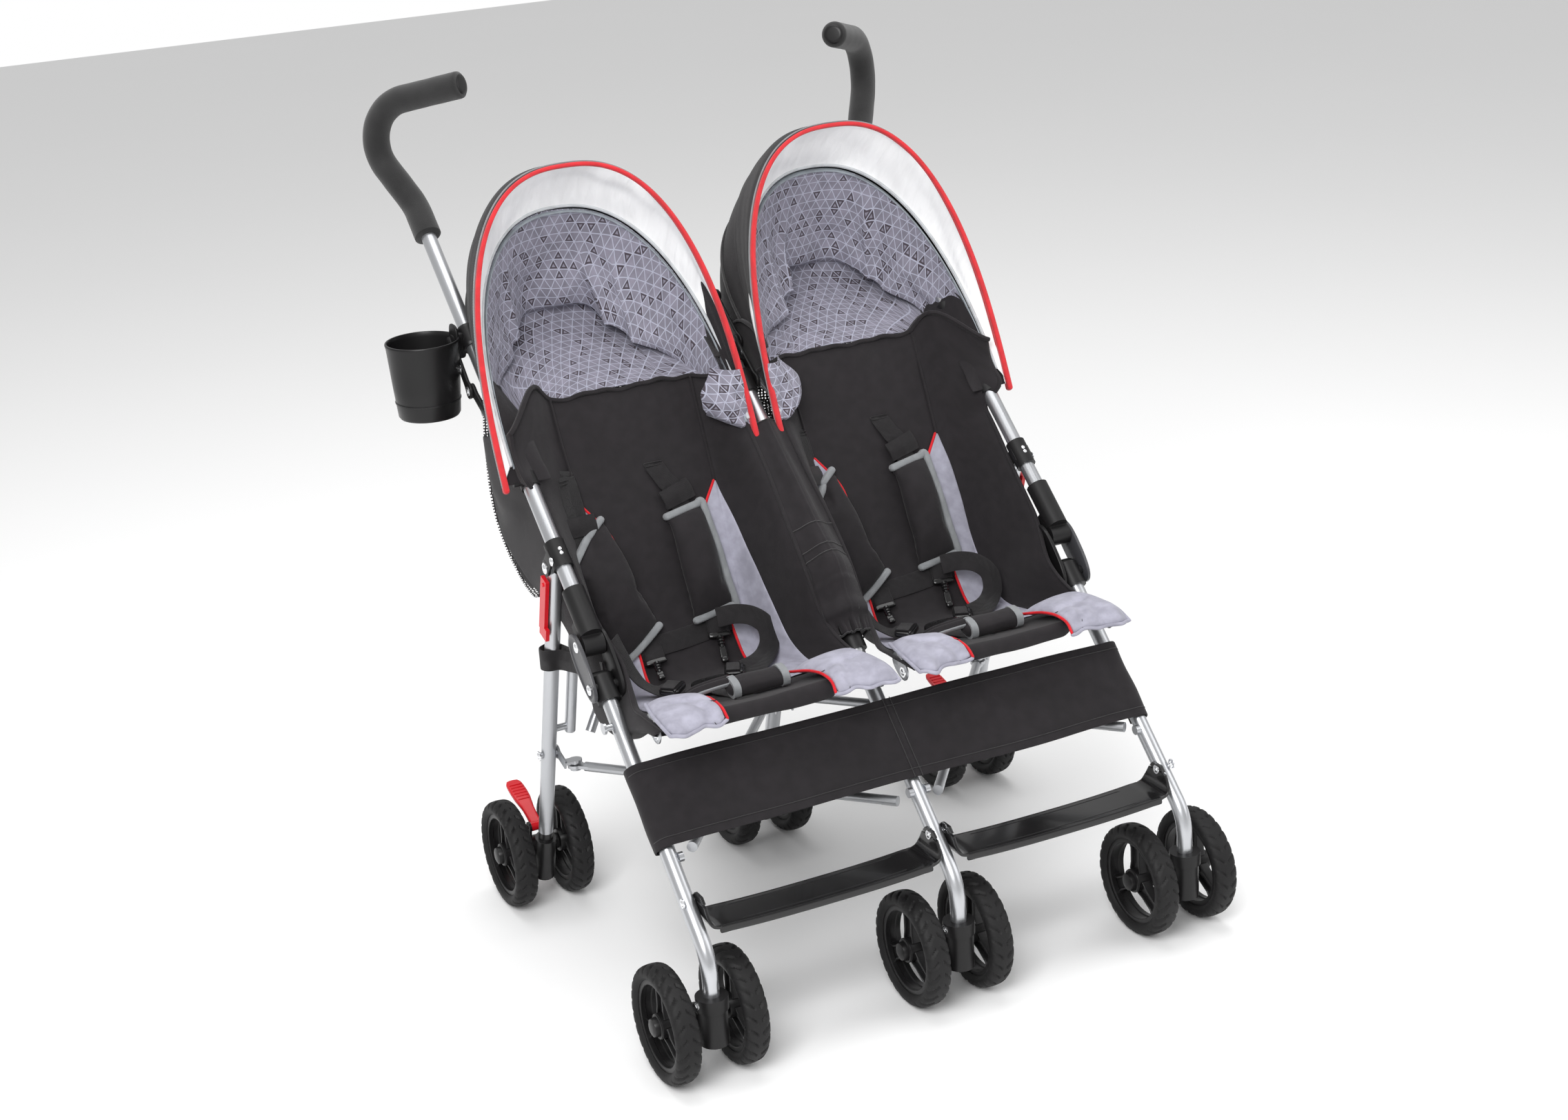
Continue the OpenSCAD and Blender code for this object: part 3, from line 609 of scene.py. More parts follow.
def new_material(name, **shader):
    """A material with its Principled shader's own constants set; gives material, node tree,
    shader and the object and UV coordinates."""
    material = bpy.data.materials.new(name)
    material.use_nodes = True
    tree = material.node_tree
    principled = tree.nodes["Principled BSDF"]
    for key, value in shader.items():
        principled.inputs[key.replace("_", " ")].default_value = value
    place = add(tree, "TexCoord").outputs
    return material, tree, principled, place["Object"], place["UV"]


def feed(shader, **sources):
    """Links sources into the shader's inputs of those names."""
    for name, source in sources.items():
        shader.id_data.links.new(source, shader.inputs[name.replace("_", " ")])


def shaded(tree, colour, *shades):
    """Colour times every shade."""
    value = shades[0]
    for shade in shades[1:]:
        value = maths(tree, "MULTIPLY", value, shade)
    grey = add(tree, "CombineColor", {0: value, 1: value, 2: value}).outputs[0]
    return add(tree, "Mix", {0: 1.0, 6: colour, 7: grey}, data_type="RGBA",
               blend_type="MULTIPLY").outputs[2]


def bump(tree, shader, height, distance, strength=1.0, before=None):
    inputs = {"Height": height, "Distance": distance, "Strength": strength}
    if before is not None:
        inputs["Normal"] = before
    node = add(tree, "Bump", inputs)
    feed(shader, Normal=node.outputs[0])
    return node.outputs[0]


def plastic(name, colour, gloss, worn=(0.07, 0.07, 0.075, 1), amount=0.35, coat=0.0, grain=0.00003,
            radius=0.0008, shine=0.3):
    """Moulded plastic: pebbled grain, slightly varying gloss and paler rubbed edges."""
    made, tree, shader, place, _ = new_material(name, Coat_Weight=coat, Coat_Roughness=0.08,
                                                Specular_IOR_Level=shine)
    texture = use(tree, grain_group(), {"Vector": place})
    wear = use(tree, wear_group(), {"Vector": place, "Radius": radius})["Mask"]
    feed(shader, Base_Color=blended(tree, maths(tree, "MULTIPLY", wear, amount), colour, worn))
    feed(shader, Roughness=maths(tree, "ADD", texture["Gloss"], gloss))
    bump(tree, shader, texture["Height"], grain)
    return made


def metal(name, colour, gloss, slope=0.0, lines=0.00002):
    """Metal tube or pressing: faint drawn lines that run along it, cloudy gloss, bright edges."""
    made, tree, shader, place, _ = new_material(name)
    shader.inputs["Metallic"].default_value = 0.92
    turned_place = add(tree, "Mapping", {"Vector": place,
                                         "Rotation": (np.radians(slope), 0, 0)},
                       vector_type="TEXTURE").outputs[0]
    drawn = use(tree, drawn_group(), {"Vector": turned_place})
    wear = use(tree, wear_group(), {"Vector": place, "Radius": 0.0006})["Mask"]
    bright = tuple(min(1.0, 1.25 * c) for c in colour[:3]) + (1,)
    feed(shader, Base_Color=blended(tree, maths(tree, "MULTIPLY", wear, 0.5), colour, bright))
    feed(shader, Roughness=maths(tree, "ADD", drawn["Gloss"], gloss))
    bump(tree, shader, drawn["Height"], lines)
    return made


def leg_and_housing(name, colour, dark, start, along, from_s):
    """Anodised tube down to s along the leg and moulded black housing below it, on one solid."""
    made, tree, shader, place, _ = new_material(name)
    offset = float(-np.dot(placed(start), along) - from_s * MM)
    s = add(tree, "VectorMath", {0: place, 1: tuple(along)},
            operation="DOT_PRODUCT").outputs["Value"]
    housing = maths(tree, "GREATER_THAN", s, -offset)
    drawn = use(tree, drawn_group(), {"Vector": place})
    grain = use(tree, grain_group(), {"Vector": place})
    wear = use(tree, wear_group(), {"Vector": place, "Radius": 0.0007})["Mask"]
    base = blended(tree, housing, colour, dark)
    feed(shader, Base_Color=blended(tree, maths(tree, "MULTIPLY", wear, 0.25), base,
                                    (0.3, 0.3, 0.3, 1)))
    feed(shader, Metallic=maths(tree, "MULTIPLY", maths(tree, "SUBTRACT", 1.0, housing), 0.92))
    feed(shader, Roughness=maths(tree, "ADD", drawn["Gloss"], 0.34))
    bump(tree, shader, grain["Height"], 0.00002)
    return made


def cloth(name, colour, gloss=0.75, sheen=0.1, creases=9.0, depth=0.0012, threads=1500.0,
          thread_depth=0.00008, tint=(1, 1, 1, 1), shine=0.2, padded=False):
    """Woven polyester: plain weave on the cloth's own UVs, or in space on padding that has
    none, soft creases and a little sheen."""
    made, tree, shader, place, spread = new_material(
        name, Sheen_Weight=sheen, Sheen_Roughness=0.45, Sheen_Tint=tint, Specular_IOR_Level=shine)
    if padded:
        spread = add(tree, "Mapping", {"Vector": place,
                                       "Rotation": (np.radians(-62), 0, 0)}).outputs[0]
    weave = use(tree, weave_group(), {"Vector": spread, "Threads": threads})
    crease = use(tree, crease_group(), {"Vector": place, "Scale": creases})
    # The colour takes the weave's tone and the creases' painted shade, with painted light on
    # ridges.
    feed(shader, Base_Color=shaded(tree, colour, weave["Shade"], crease["Shade"]))
    feed(shader, Roughness=ramp(tree, crease["Height"], 0.4, 0.9, gloss - 0.06, gloss + 0.06))
    folds = bump(tree, shader, crease["Height"], depth)
    bump(tree, shader, weave["Height"], thread_depth, before=folds)
    return made


def printed_cloth(name, colour, lines, accent, cell):
    """Lining print: pale triangle lattice with a few dark triangle outlines on woven cloth."""
    made, tree, shader, place, spread = new_material(name, Sheen_Weight=0.1, Sheen_Roughness=0.5)
    lattice = use(tree, lattice_group(), {"Vector": spread, "Cell": cell})
    weave = use(tree, weave_group(), {"Vector": spread, "Threads": 1500.0})
    crease = use(tree, crease_group(), {"Vector": place, "Scale": 11.0})
    tone = ramp(tree, lattice["Tone"], 0.0, 1.0, 0.9, 1.1)
    # The ground takes the creases' painted shade and painted light on ridges, and the weave's and
    # cells' tone.
    ground = shaded(tree, colour, weave["Shade"], crease["Shade"], tone)
    lined = blended(tree, maths(tree, "MULTIPLY", lattice["Lines"], 0.6), ground, lines)
    feed(shader, Base_Color=blended(tree, maths(tree, "MULTIPLY", lattice["Accent"], 0.85),
                                    lined, accent))
    shader.inputs["Roughness"].default_value = 0.72
    folds = bump(tree, shader, crease["Height"], 0.0018)
    bump(tree, shader, weave["Height"], 0.00008, before=folds)
    return made


def binding(name, colour, thread, place_across=0.0, gloss=0.6, length=0.0034):
    """Bias binding: stitched along its length, with the stitches pulled into the cloth."""
    made, tree, shader, _, spread = new_material(name, Sheen_Weight=0.2, Sheen_Roughness=0.4)
    weave = use(tree, weave_group(), {"Vector": spread, "Threads": 1700.0})
    stitch = use(tree, stitch_group(), {"Vector": spread, "Place": place_across,
                                        "Length": length})
    feed(shader, Base_Color=blended(tree, stitch["Mask"], shaded(tree, colour, weave["Shade"]),
                                    thread))
    feed(shader, Roughness=ramp(tree, weave["Height"], 0.0, 1.0, gloss + 0.06, gloss - 0.04))
    sunk = maths(tree, "SUBTRACT", weave["Height"], maths(tree, "MULTIPLY", stitch["Dip"], 4.0))
    bump(tree, shader, sunk, 0.00012)
    return made


def webbing(name, colour):
    """Harness webbing: ribs across the strap with painted shade between them, and a faint shine
    on the ribs, partly from their lower roughness and partly a painted highlight.
    """
    made, tree, shader, _, spread = new_material(name, Sheen_Weight=0.12, Sheen_Roughness=0.35,
                                                 Specular_IOR_Level=0.3)
    parts = add(tree, "SeparateXYZ", {0: spread}).outputs
    rib = maths(tree, "ABSOLUTE", maths(tree, "SINE",
                                        maths(tree, "MULTIPLY", parts[1], 2600.0)))
    weave = use(tree, weave_group(), {"Vector": spread, "Threads": 900.0})
    height = maths(tree, "MULTIPLY_ADD", weave["Height"], 0.6, rib)
    # Painted shade between the ribs and a painted highlight on their tops, in the colour.
    feed(shader, Base_Color=shaded(tree, colour, ramp(tree, height, 0.2, 1.5, 0.55, 1.5),
                                   weave["Shade"]))
    feed(shader, Roughness=ramp(tree, height, 0.2, 1.5, 0.8, 0.55))
    bump(tree, shader, height, 0.0003)
    return made


def foam(name, colour):
    """Closed-cell grip foam: fine open pores in a dry, dull skin with shinier rubbed patches."""
    made, tree, shader, place, _ = new_material(name, Sheen_Weight=0.2, Sheen_Roughness=0.6)
    pores = add(tree, "TexVoronoi", {"Vector": place, "Scale": 900.0}).outputs["Distance"]
    rub = add(tree, "TexNoise", {"Vector": place, "Scale": 18.0, "Detail": 4.0}).outputs["Fac"]
    # The colour is painted darker in the pores as shade in them and lighter between them.
    feed(shader, Base_Color=shaded(tree, colour, ramp(tree, pores, 0.0, 0.6, 0.7, 1.15),
                                   ramp(tree, rub, 0.3, 0.7, 0.85, 1.2)))
    feed(shader, Roughness=ramp(tree, rub, 0.35, 0.7, 0.93, 0.76))
    bump(tree, shader, pores, 0.00025)
    return made


def net(name, colour):
    """Knotted net: six-sided holes between round cords."""
    made, tree, shader, _, spread = new_material(name, Roughness=0.7)
    shifted = add(tree, "Mapping", {"Vector": spread, "Scale": (250.0, 220.0, 1.0)}).outputs[0]
    cells = add(tree, "TexVoronoi", {"Vector": shifted, "Scale": 1.0, "Randomness": 0.35},
                feature="DISTANCE_TO_EDGE", voronoi_dimensions="2D").outputs["Distance"]
    weave = use(tree, weave_group(), {"Vector": spread, "Threads": 2600.0})
    feed(shader, Base_Color=shaded(tree, colour, weave["Shade"]))
    feed(shader, Alpha=ramp(tree, cells, 0.24, 0.19))
    bump(tree, shader, cells, 0.0006)
    return made


def coated_lining(name, colour):
    """Silver-white coated lining: long soft creases with painted shade in them and painted light
    on their ridges, and a satin gloss that changes on them.
    """
    made, tree, shader, _, spread = new_material(name, Coat_Weight=0.25, Coat_Roughness=0.22)
    long_way = add(tree, "Mapping", {"Vector": spread, "Scale": (1.0, 0.22, 1.0)}).outputs[0]
    crease = use(tree, crease_group(), {"Vector": long_way, "Scale": 30.0})
    weave = use(tree, weave_group(), {"Vector": spread, "Threads": 1400.0})
    # The colour is painted darker in the crease valleys as shade and lighter on their ridges.
    cloud = ramp(tree, crease["Height"], 0.45, 0.9, 0.93, 1.03)
    feed(shader, Base_Color=shaded(tree, colour, cloud))
    feed(shader, Roughness=ramp(tree, crease["Height"], 0.4, 0.9, 0.3, 0.45))
    folds = bump(tree, shader, crease["Height"], 0.003)
    bump(tree, shader, weave["Height"], 0.00005, before=folds)
    return made


def dimmed(colour, share):
    """A colour with a share of its light."""
    return tuple(share * part for part in colour[:3]) + (1,)


def finish(kind):
    """The stroller's finishes by name, with the colours chosen in the panel."""
    c = bpy.context.scene.stroller_colours
    black, grey, red = [tuple(x) for x in (c.cloth_black, c.cloth_grey, c.trim_red)]
    silver, dark, lining = [tuple(x) for x in (c.tube_silver, c.plastic_black, c.visor_silver)]
    sizes = bpy.context.scene.stroller_sizes
    makers = {
        "upper_tube": partial(metal, "Anodised upper tube", silver, 0.3, UPPER_SLOPE),
        "lower_tube": partial(metal, "Anodised front leg", silver, 0.3, LOWER_SLOPE - 180),
        "bar": partial(metal, "Plated crossed bar", dimmed(silver, 0.82), 0.34),
        "bracket": partial(metal, "Zinc plated bracket", dimmed(silver, 0.9), 0.38),
        "chrome": partial(metal, "Bright rivet", (0.85, 0.86, 0.88, 1), 0.14),
        "rear_leg": partial(leg_and_housing, "Anodised rear leg with housing", silver, dark,
                            LEG_PIVOT, LEG_DIR, LEG_LENGTH - 70),
        "plastic": partial(plastic, "Black moulded fitting", dark, 0.42),
        "gloss_plastic": partial(plastic, "Glossy black footrest", dark, 0.2, coat=0.35,
                                 grain=0.00001),
        "satin_plastic": partial(plastic, "Satin black cup", dark, 0.34, grain=0.00002),
        "rim": partial(plastic, "Black wheel rim", dark, 0.36),
        "shield": partial(plastic, "Grey knuckle shield", (0.05, 0.05, 0.055, 1), 0.32, coat=0.2),
        "tyre": partial(plastic, "Black tyre", dimmed(dark, 0.9), 0.62,
                        worn=(0.09, 0.085, 0.08, 1), amount=0.3, grain=0.00012),
        "red_plastic": partial(plastic, "Red lever plastic", red, 0.34, worn=(0.8, 0.2, 0.2, 1),
                               amount=0.4, coat=0.2, grain=0.00001),
        "foam": partial(foam, "Black grip foam", dimmed(dark, 0.7)),
        "black_cloth": partial(cloth, "Black polyester", black),
        "pad_cloth": partial(cloth, "Black pad cloth", black, creases=20.0, depth=0.0007,
                             padded=True),
        "grey_cloth": partial(cloth, "Lavender grey polyester", grey, gloss=0.7, depth=0.001),
        "quilt": partial(cloth, "Quilted lavender grey", grey, gloss=0.66, sheen=0.15,
                         creases=30.0, depth=0.001, padded=True),
        # The print's ground colour is darkened as painted shade for the shade under the canopy.
        "print": partial(printed_cloth, "Triangle print lining", tuple(c.lining_grey_painted_shade),
                         (0.52, 0.54, 0.66, 1), (0.02, 0.008, 0.014, 1), sizes.print_cell),
        "red_binding": partial(binding, "Red stitched binding", red, (0.4, 0.01, 0.02, 1)),
        "red_piping": partial(cloth, "Red piping", red, gloss=0.5, creases=60.0, depth=0.0002),
        "grey_binding": partial(binding, "Grey stitched binding", tuple(c.binding_grey),
                                (0.5, 0.5, 0.5, 1)),
        "bow": partial(binding, "Silver grey bow tape", (0.56, 0.58, 0.60, 1), (0.8, 0.8, 0.8, 1)),
        # A grey cloth sleeve under the bow that also stands in as the bow's painted shadow.
        "shadow_tape": partial(cloth, "Grey bow sleeve and painted shadow", (0.28, 0.31, 0.34, 1), gloss=0.4,
                               creases=30.0),
        "black_binding": partial(binding, "Black stitched hem", dimmed(black, 0.7),
                                 (0.02, 0.018, 0.02, 1)),
        "visor": partial(coated_lining, "Silver visor lining", lining),
        "webbing": partial(webbing, "Black webbing", dimmed(black, 0.62)),
        "net": partial(net, "Black net", black),
    }
    maker = makers[kind]
    return bpy.data.materials.get(maker.args[0]) or maker()


# ---------- sizes and colours ----------


def length(name, description, default, low, high):
    return bpy.props.FloatProperty(name=name, description=description, default=default, min=low,
                                   max=high, unit="LENGTH")


class StrollerSizes(bpy.types.PropertyGroup):
    """Sizes that a user would change, in metres."""

    tread_depth: length("Tread depth", "Depth of the chevron grooves in the tyres",
                        0.0018, 0.0, 0.004)
    pad_thickness: length("Shoulder pad thickness", "Thickness of a shoulder pad at its middle",
                          0.021, 0.008, 0.03)
    pad_swell: length("Padding swell", "How far a padded piece may swell as it is filled",
                      0.006, 0.0, 0.015)
    webbing_width: length("Webbing width", "Width of the harness straps", 0.025, 0.02, 0.035)
    binding_width: length("Binding width", "Width of the red binding round each canopy",
                          0.010, 0.005, 0.015)
    piping_width: length("Piping width", "Thickness of the red piping in the seats",
                         0.0035, 0.002, 0.006)
    print_cell: length("Print cell", "Distance between neighbouring lines of the lining print",
                       0.0122, 0.004, 0.03)


def colour(name, description, default):
    return bpy.props.FloatVectorProperty(name=name, description=description, default=default,
                                         subtype="COLOR", size=4, min=0.0, max=1.0)


class StrollerColours(bpy.types.PropertyGroup):
    """Colours of cloth, plastic and metal."""

    cloth_black: colour("Black cloth", "Seats, covers and canopy shells",
                        (0.0165, 0.0142, 0.0160, 1))
    cloth_grey: colour("Lavender grey cloth", "Wings and quilted corners", (0.350, 0.345, 0.415, 1))
    # The lavender grey of the cloth, darkened as painted shade for the shade under the canopy.
    lining_grey_painted_shade: colour("Lining grey, painted shade", "Ground of the printed lining", (0.215, 0.205, 0.255, 1))
    trim_red: colour("Red trim", "Bindings, piping, levers", (0.620, 0.010, 0.018, 1))
    binding_grey: colour("Grey binding", "Edges of the shoulder pads", (0.235, 0.245, 0.255, 1))
    visor_silver: colour("Visor lining", "Coated lining of the visors", (0.92, 0.925, 0.93, 1))
    tube_silver: colour("Tube silver", "Anodised tubes", (0.53, 0.54, 0.56, 1))
    plastic_black: colour("Black plastic", "Fittings, wheels, grips", (0.0090, 0.0086, 0.0090, 1))


# ---------- frame: CAD nodes keep their shapes and get their finish ----------


def dress(node, *finishes):
    """Gives a CAD node's object its finish."""
    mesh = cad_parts[node].data
    mesh.materials.clear()
    for kind in finishes:
        mesh.materials.append(finish(kind))


class STROLLER_OT_frame_finish(bpy.types.Operator):
    """Finish the tubes, fittings, brackets and bars that come from the CAD model"""

    bl_idname = "stroller.frame_finish"
    bl_label = "Frame finish"

    def execute(self, context):
        for side in SIDE_NAMES.values():
            dress(f"upper_tube_{side}", "upper_tube")
            dress(f"tube_fittings_{side}", "plastic")
            if side == "middle":
                dress(f"knuckle_fork_{side}", "plastic")
            dress(f"front_leg_{side}", "lower_tube")
            dress(f"rear_leg_{side}", "rear_leg")
            dress(f"caster_housing_{side}", "plastic")
            dress(f"floor_bracket_{side}", "bracket")
            dress(f"back_bracket_{side}", "bracket")
        for side in ("left_outer", "left_inner", "right_inner", "right_outer"):
            dress(f"floor_bar_{side}", "bar")
            dress(f"back_bar_{side}", "bar")
        for side in ("left", "right"):
            dress(f"fold_latch_{side}", "red_plastic")
        return {"FINISHED"}


# ---------- wheels ----------


def tyre(tread_depth):
    """Tyre round X: section carried round, less a groove where the chevron wave, which leans
    with the distance from the middle plane, is near a whole number."""
    section = curve([(54, -11), (57.5, -14.2), (62, -15), (66, -13.6), (69, -9.6), (70, -4),
                     (70, 4), (69, 9.6), (66, 13.6), (62, 15), (57.5, 14.2), (54, 11)], 31)
    a = np.linspace(0, 2 * np.pi, 217)[:, None]
    radius, x = section[None, :, 0], section[None, :, 1]
    wave = a * 27 / (2 * np.pi) + 0.055 * np.abs(x)
    off = np.abs(wave - np.round(wave))
    groove = smooth(off, 0.17, 0.08) * smooth(np.abs(x), 2.2, 4.0) * smooth(radius, 59.5, 62)
    radius = radius - tread_depth / MM * groove
    ring = np.stack([x + 0 * a, radius * np.cos(a), radius * np.sin(a)], -1)
    return np.concatenate([ring, ring[:, :1]], axis=1)


def wheel_parts(tread_depth):
    """Grids of one wheel round X with its cap towards +X, each with its material number."""
    axis, middle = (1, 0, 0), (0, 0, 0)
    rim = [(54.5, -10), (54.5, 10), (53.5, 10.6), (49, 10.6), (48.2, 9.8), (48.2, 4.2), (49.6, 3),
           (49.6, -3), (48.2, -4.2), (48.2, -9.8), (49, -10.6), (53.5, -10.6), (54.5, -10)]
    hub = [(0, -17), (9, -17), (10, -16), (10.5, -12), (14.4, -11), (15, -10), (15, 9.6),
           (14.2, 10.6), (11.6, 11), (11.2, 15), (10.4, 17.2), (8, 18.4), (4, 18.9), (0, 19)]
    lip = [(11.4, 11), (13, 11.8), (14.6, 11), (14.6, 9), (11.4, 9), (11.4, 11)]
    parts = [(tyre(tread_depth), 0), (turned(rim, middle, axis, 96), 1),
             (turned(hub, middle, axis, 48), 1), (turned(lip, middle, axis, 48), 1)]
    for k in range(3):
        a = np.radians(90 + 120 * k)
        out = np.array([0, np.cos(a), np.sin(a)])
        side = np.array([0, -np.sin(a), np.cos(a)])
        r = np.linspace(12, 50.5, 9)[:, None]
        flare = 1 + 0.5 * smooth(r, 40, 50) + 0.25 * smooth(r, 22, 12)
        web = sweep(r * out, oval(4.6, 15, 8, 24), side, flare[:, 0])
        parts.append((web, 1))
        for m in (-1, 1):
            edge = r * out + m * 7.6 * flare * side
            parts.append((sweep(edge, oval(12.5, 3.0, 5, 24), side), 1))
    return parts


class STROLLER_OT_wheels(bpy.types.Operator):
    """Twelve spoked wheels with chevron tyres, in pairs on six axles"""

    bl_idname = "stroller.wheels"
    bl_label = "Wheels"

    def execute(self, context):
        parts = wheel_parts(context.scene.stroller_sizes.tread_depth)
        kinds = ["tyre", "rim"]
        names = {LEFT: (("outer", -1), ("inner", 1)), MIDDLE: (("left", -1), ("right", 1)),
                 RIGHT: (("inner", -1), ("outer", 1))}
        for end in ("front", "rear"):
            for side, pair in names.items():
                for label, m in pair:
                    node = f"{end}_wheel_{SIDE_NAMES[side]}_{label}"
                    hub = (box_centre(node) - ORIGIN) / MM
                    hub[0] -= m * 1.0
                    turn = np.array([m, m, 1.0])
                    grids = [patch(grid * turn + hub, kind) for grid, kind in parts]
                    made = piece(f"{node}_detail", grids, node, kinds, sharp=32)
                    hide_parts(node)
        return {"FINISHED"}


# ---------- grips and cup holder ----------


def handle_path(side):
    """Corner points from the start of the grip over the handle bend to its free end."""
    first, bend = upper(600, 0, side * PITCH), upper(652, 0, side * PITCH)
    corner = bend + [side * 58, 68, 116]
    return [first, bend, corner, corner + [-side * 117, -122, 36]]


class STROLLER_OT_grips(bpy.types.Operator):
    """Foam grips on the two handles"""

    bl_idname = "stroller.grips"
    bl_label = "Grips"

    def execute(self, context):
        for side in (LEFT, RIGHT):
            path = bent_path(handle_path(side), 55, 2.5)
            gone = np.linspace(0, 1, len(path)) * len(path) * 2.5
            left = gone[-1] - gone
            end = np.sqrt(np.clip(1 - (1 - np.clip(left / 5, 0, 1)) ** 2, 0.0, 1))
            start = np.sqrt(np.clip(1 - (1 - np.clip(gone / 3, 0, 1)) ** 2, 0.0, 1))
            uneven = 1 + 0.006 * np.sin(gone / 11) + 0.004 * np.sin(gone / 4.3)
            size = (0.80 + 0.20 * np.minimum(end, start)) * uneven
            skin = sweep(path, oval(34, 34, 2, 48), (side * 0.2, -0.4, 0.9), size)
            cap = turned([(0, 1.2), (8, 1.4), (12, 0.9), (13.4, -0.8)], path[-1],
                         path[-1] - path[-2], 40)
            name = f"grip_{SIDE_NAMES[side]}"
            made = piece(f"{name}_foam", [patch(skin), patch(cap, 1)], f"{SIDE_NAMES[side]}_frame",
                         ["foam", "satin_plastic"], sharp=50)
            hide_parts(name)
        return {"FINISHED"}


class STROLLER_OT_cup_holder(bpy.types.Operator):
    """Tapered cup holder with a rolled lip, on its clamp at the left handle tube"""

    bl_idname = "stroller.cup_holder"
    bl_label = "Cup holder"

    def execute(self, context):
        hold = upper(440, 0, LEFT * PITCH)
        centre = hold + [-TUBE_R - 6 - 46, 0, -88]
        wall = [(0, 0), (33, 0), (36.5, 1), (38.4, 4), (41.5, 40), (45.0, 90), (45.9, 93.5),
                (45.9, 95), (45.2, 96), (43.6, 96), (43, 95), (42.4, 90), (38.8, 40), (35.6, 8),
                (33.5, 4.2), (0, 3.6)]
        rib = [(39.4, 20), (40.6, 20.4), (40.8, 22), (39.7, 22.6)]
        cup = [patch(turned(wall, centre, (0, 0, 1), 96)),
               patch(turned(rib, centre, (0, 0, 1), 96))]
        along = np.linspace(-15, 15, 13)
        clamp = sweep(hold + along[:, None] * UPPER_DIR, oval(27.5, 27.5, 2, 40), (1, 0, 0),
                      1 - 0.1 * smooth(np.abs(along), 12, 15))
        neck = block(hold + [-TUBE_R - 6.5, 0, -6], (7.5, 9.5, 16), power=5)
        tongue = block(hold + [-TUBE_R - 10.5, 0, -4], (2.6, 14, 25), power=4)
        bolt = turned([(0, 2.2), (3, 2), (4.2, 0.8), (4.4, -1)], hold + [13.2, 0, 0], (1, 0, 0), 24)
        made = piece("cup_holder_detail", cup + [patch(clamp), patch(neck), patch(tongue),
                                                 patch(bolt, 1)],
                     "left_frame", ["satin_plastic", "chrome"])
        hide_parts("cup_holder")
        return {"FINISHED"}


# ---------- knuckle covers, rivets and screws ----------

# Profiles of a rivet head and its washer: (radius, height)
DOME = [(0, 1.9), (1.6, 1.8), (3.0, 1.2), (3.7, 0.2), (3.8, -0.8)]
WASHER = [(3.6, 0.5), (5.6, 0.5), (6.0, 0.1), (6.0, -0.8)]


def rivet(centre, axis, size=1.0):
    """Domed rivet head on its washer."""
    return [patch(turned(np.array(DOME) * size, centre, axis, 24)),
            patch(turned(np.array(WASHER) * size, centre, axis, 24))]


def knuckle_cheek(side, m):
    """Rounded cheek of a knuckle fork with a raised rim and a sunk field."""
    rim = [(0, -2.6), (0.94, -2.6), (1.0, -1.8), (1.0, 1.4), (0.97, 2.2), (0.89, 2.2), (0.85, 1.0),
           (0.5, 0.7), (0.0, 0.8)]
    return dished(lower(25, -4, side * PITCH + m * 17.6), LOWER_DIR, (m, 0, 0), (88, 36), rim, 2.6,
                  64, taper=0.2)


class STROLLER_OT_knuckle_trim(bpy.types.Operator):
    """Cheek covers, screws and rivets of the knuckles, saddles, legs and housings"""

    bl_idname = "stroller.knuckle_trim"
    bl_label = "Knuckle trim"

    def execute(self, context):
        chrome = ["chrome"]
        for side, name in SIDE_NAMES.items():
            x = side * PITCH
            faces = (side,) if side else (-1, 1)
            if side:
                parts = [patch(knuckle_cheek(side, m), 1 if m == side else 0) for m in (-1, 1)]
                parts.append(strip(lower(mix(40, 72, np.linspace(0, 1, 9)), 0, x), (28, 28, 2, 40),
                                   (1, 0, 0), ends="flat"))
                parts.append(patch(block(lower(46, 8, x), (16.5, 16, 12),
                                         np.stack([(1, 0, 0), LOWER_DIR, LOWER_OUT]), 4)))
                parts.append(strip(lower(52, -4, x + np.linspace(-17, 17, 5)), (11, 11, 2, 24),
                                   (0, 0, 1), ends="flat"))
                made = piece(f"knuckle_{name}", parts, f"{name}_front_leg",
                             ["plastic", "shield"])
                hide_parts(f"knuckle_fork_{name}")
                piece(f"knuckle_socket_{name}",
                      [strip(upper(mix(6, 68, np.linspace(0, 1, 12)), 0, x), (27.4, 27.4, 2, 40),
                             (1, 0, 0), ends="flat")],
                      f"{name}_frame", ["plastic"])
            fork, saddle, leg, ankle, foot = [], [], [], [], []
            for m in faces:
                out = (m, 0, 0)
                lift = 19.4 if side else 20.2
                fork += rivet(lower(0, -KNUCKLE_OFFSET, x + m * lift), out, 1.15)
                fork += rivet(lower(52, -1, x + m * lift), out, 1.1)
                saddle += rivet(upper(110, 2, x + m * 12.6), out, 0.9)
                saddle += rivet(upper(117, -24, x + m * 13.6), out, 1.2)
                saddle += rivet(upper(345, 2, x + m * 12.6), out, 0.8)
                leg += rivet(LEG_PIVOT + LEG_DIR * 293 + [x + m * 13.4, 0, 0], out, 1.1)
                ankle += rivet(np.array([x + m * 9.6, -249, 211]), out, 1.0)
                foot += rivet(np.array([x + m * 9.4, -289, 104]) + [m * 9.4, 0, 0], out, 0.9)
            for s in (122, 128):
                saddle += rivet(upper(s - 8, 12.4, x), UPPER_OUT, 0.7)[:1]
            piece(f"fork_screws_{name}", fork, f"{name}_front_leg", chrome)
            piece(f"leg_screws_{name}", ankle, f"{name}_front_leg", chrome)
            body = "mid_frame" if side == MIDDLE else f"{name}_frame"
            piece(f"saddle_rivets_{name}", saddle, body, chrome)
            piece(f"rear_leg_rivets_{name}", leg, f"{name}_rear_leg", chrome)
            piece(f"caster_rivets_{name}", foot, f"{name}_caster", chrome)
        return {"FINISHED"}


# ---------- seats ----------

# Side-view lines of the seat's middle and edges: (way from its top to its front edge, (y, z));
# then its half width, and the wings' edges as shares of that

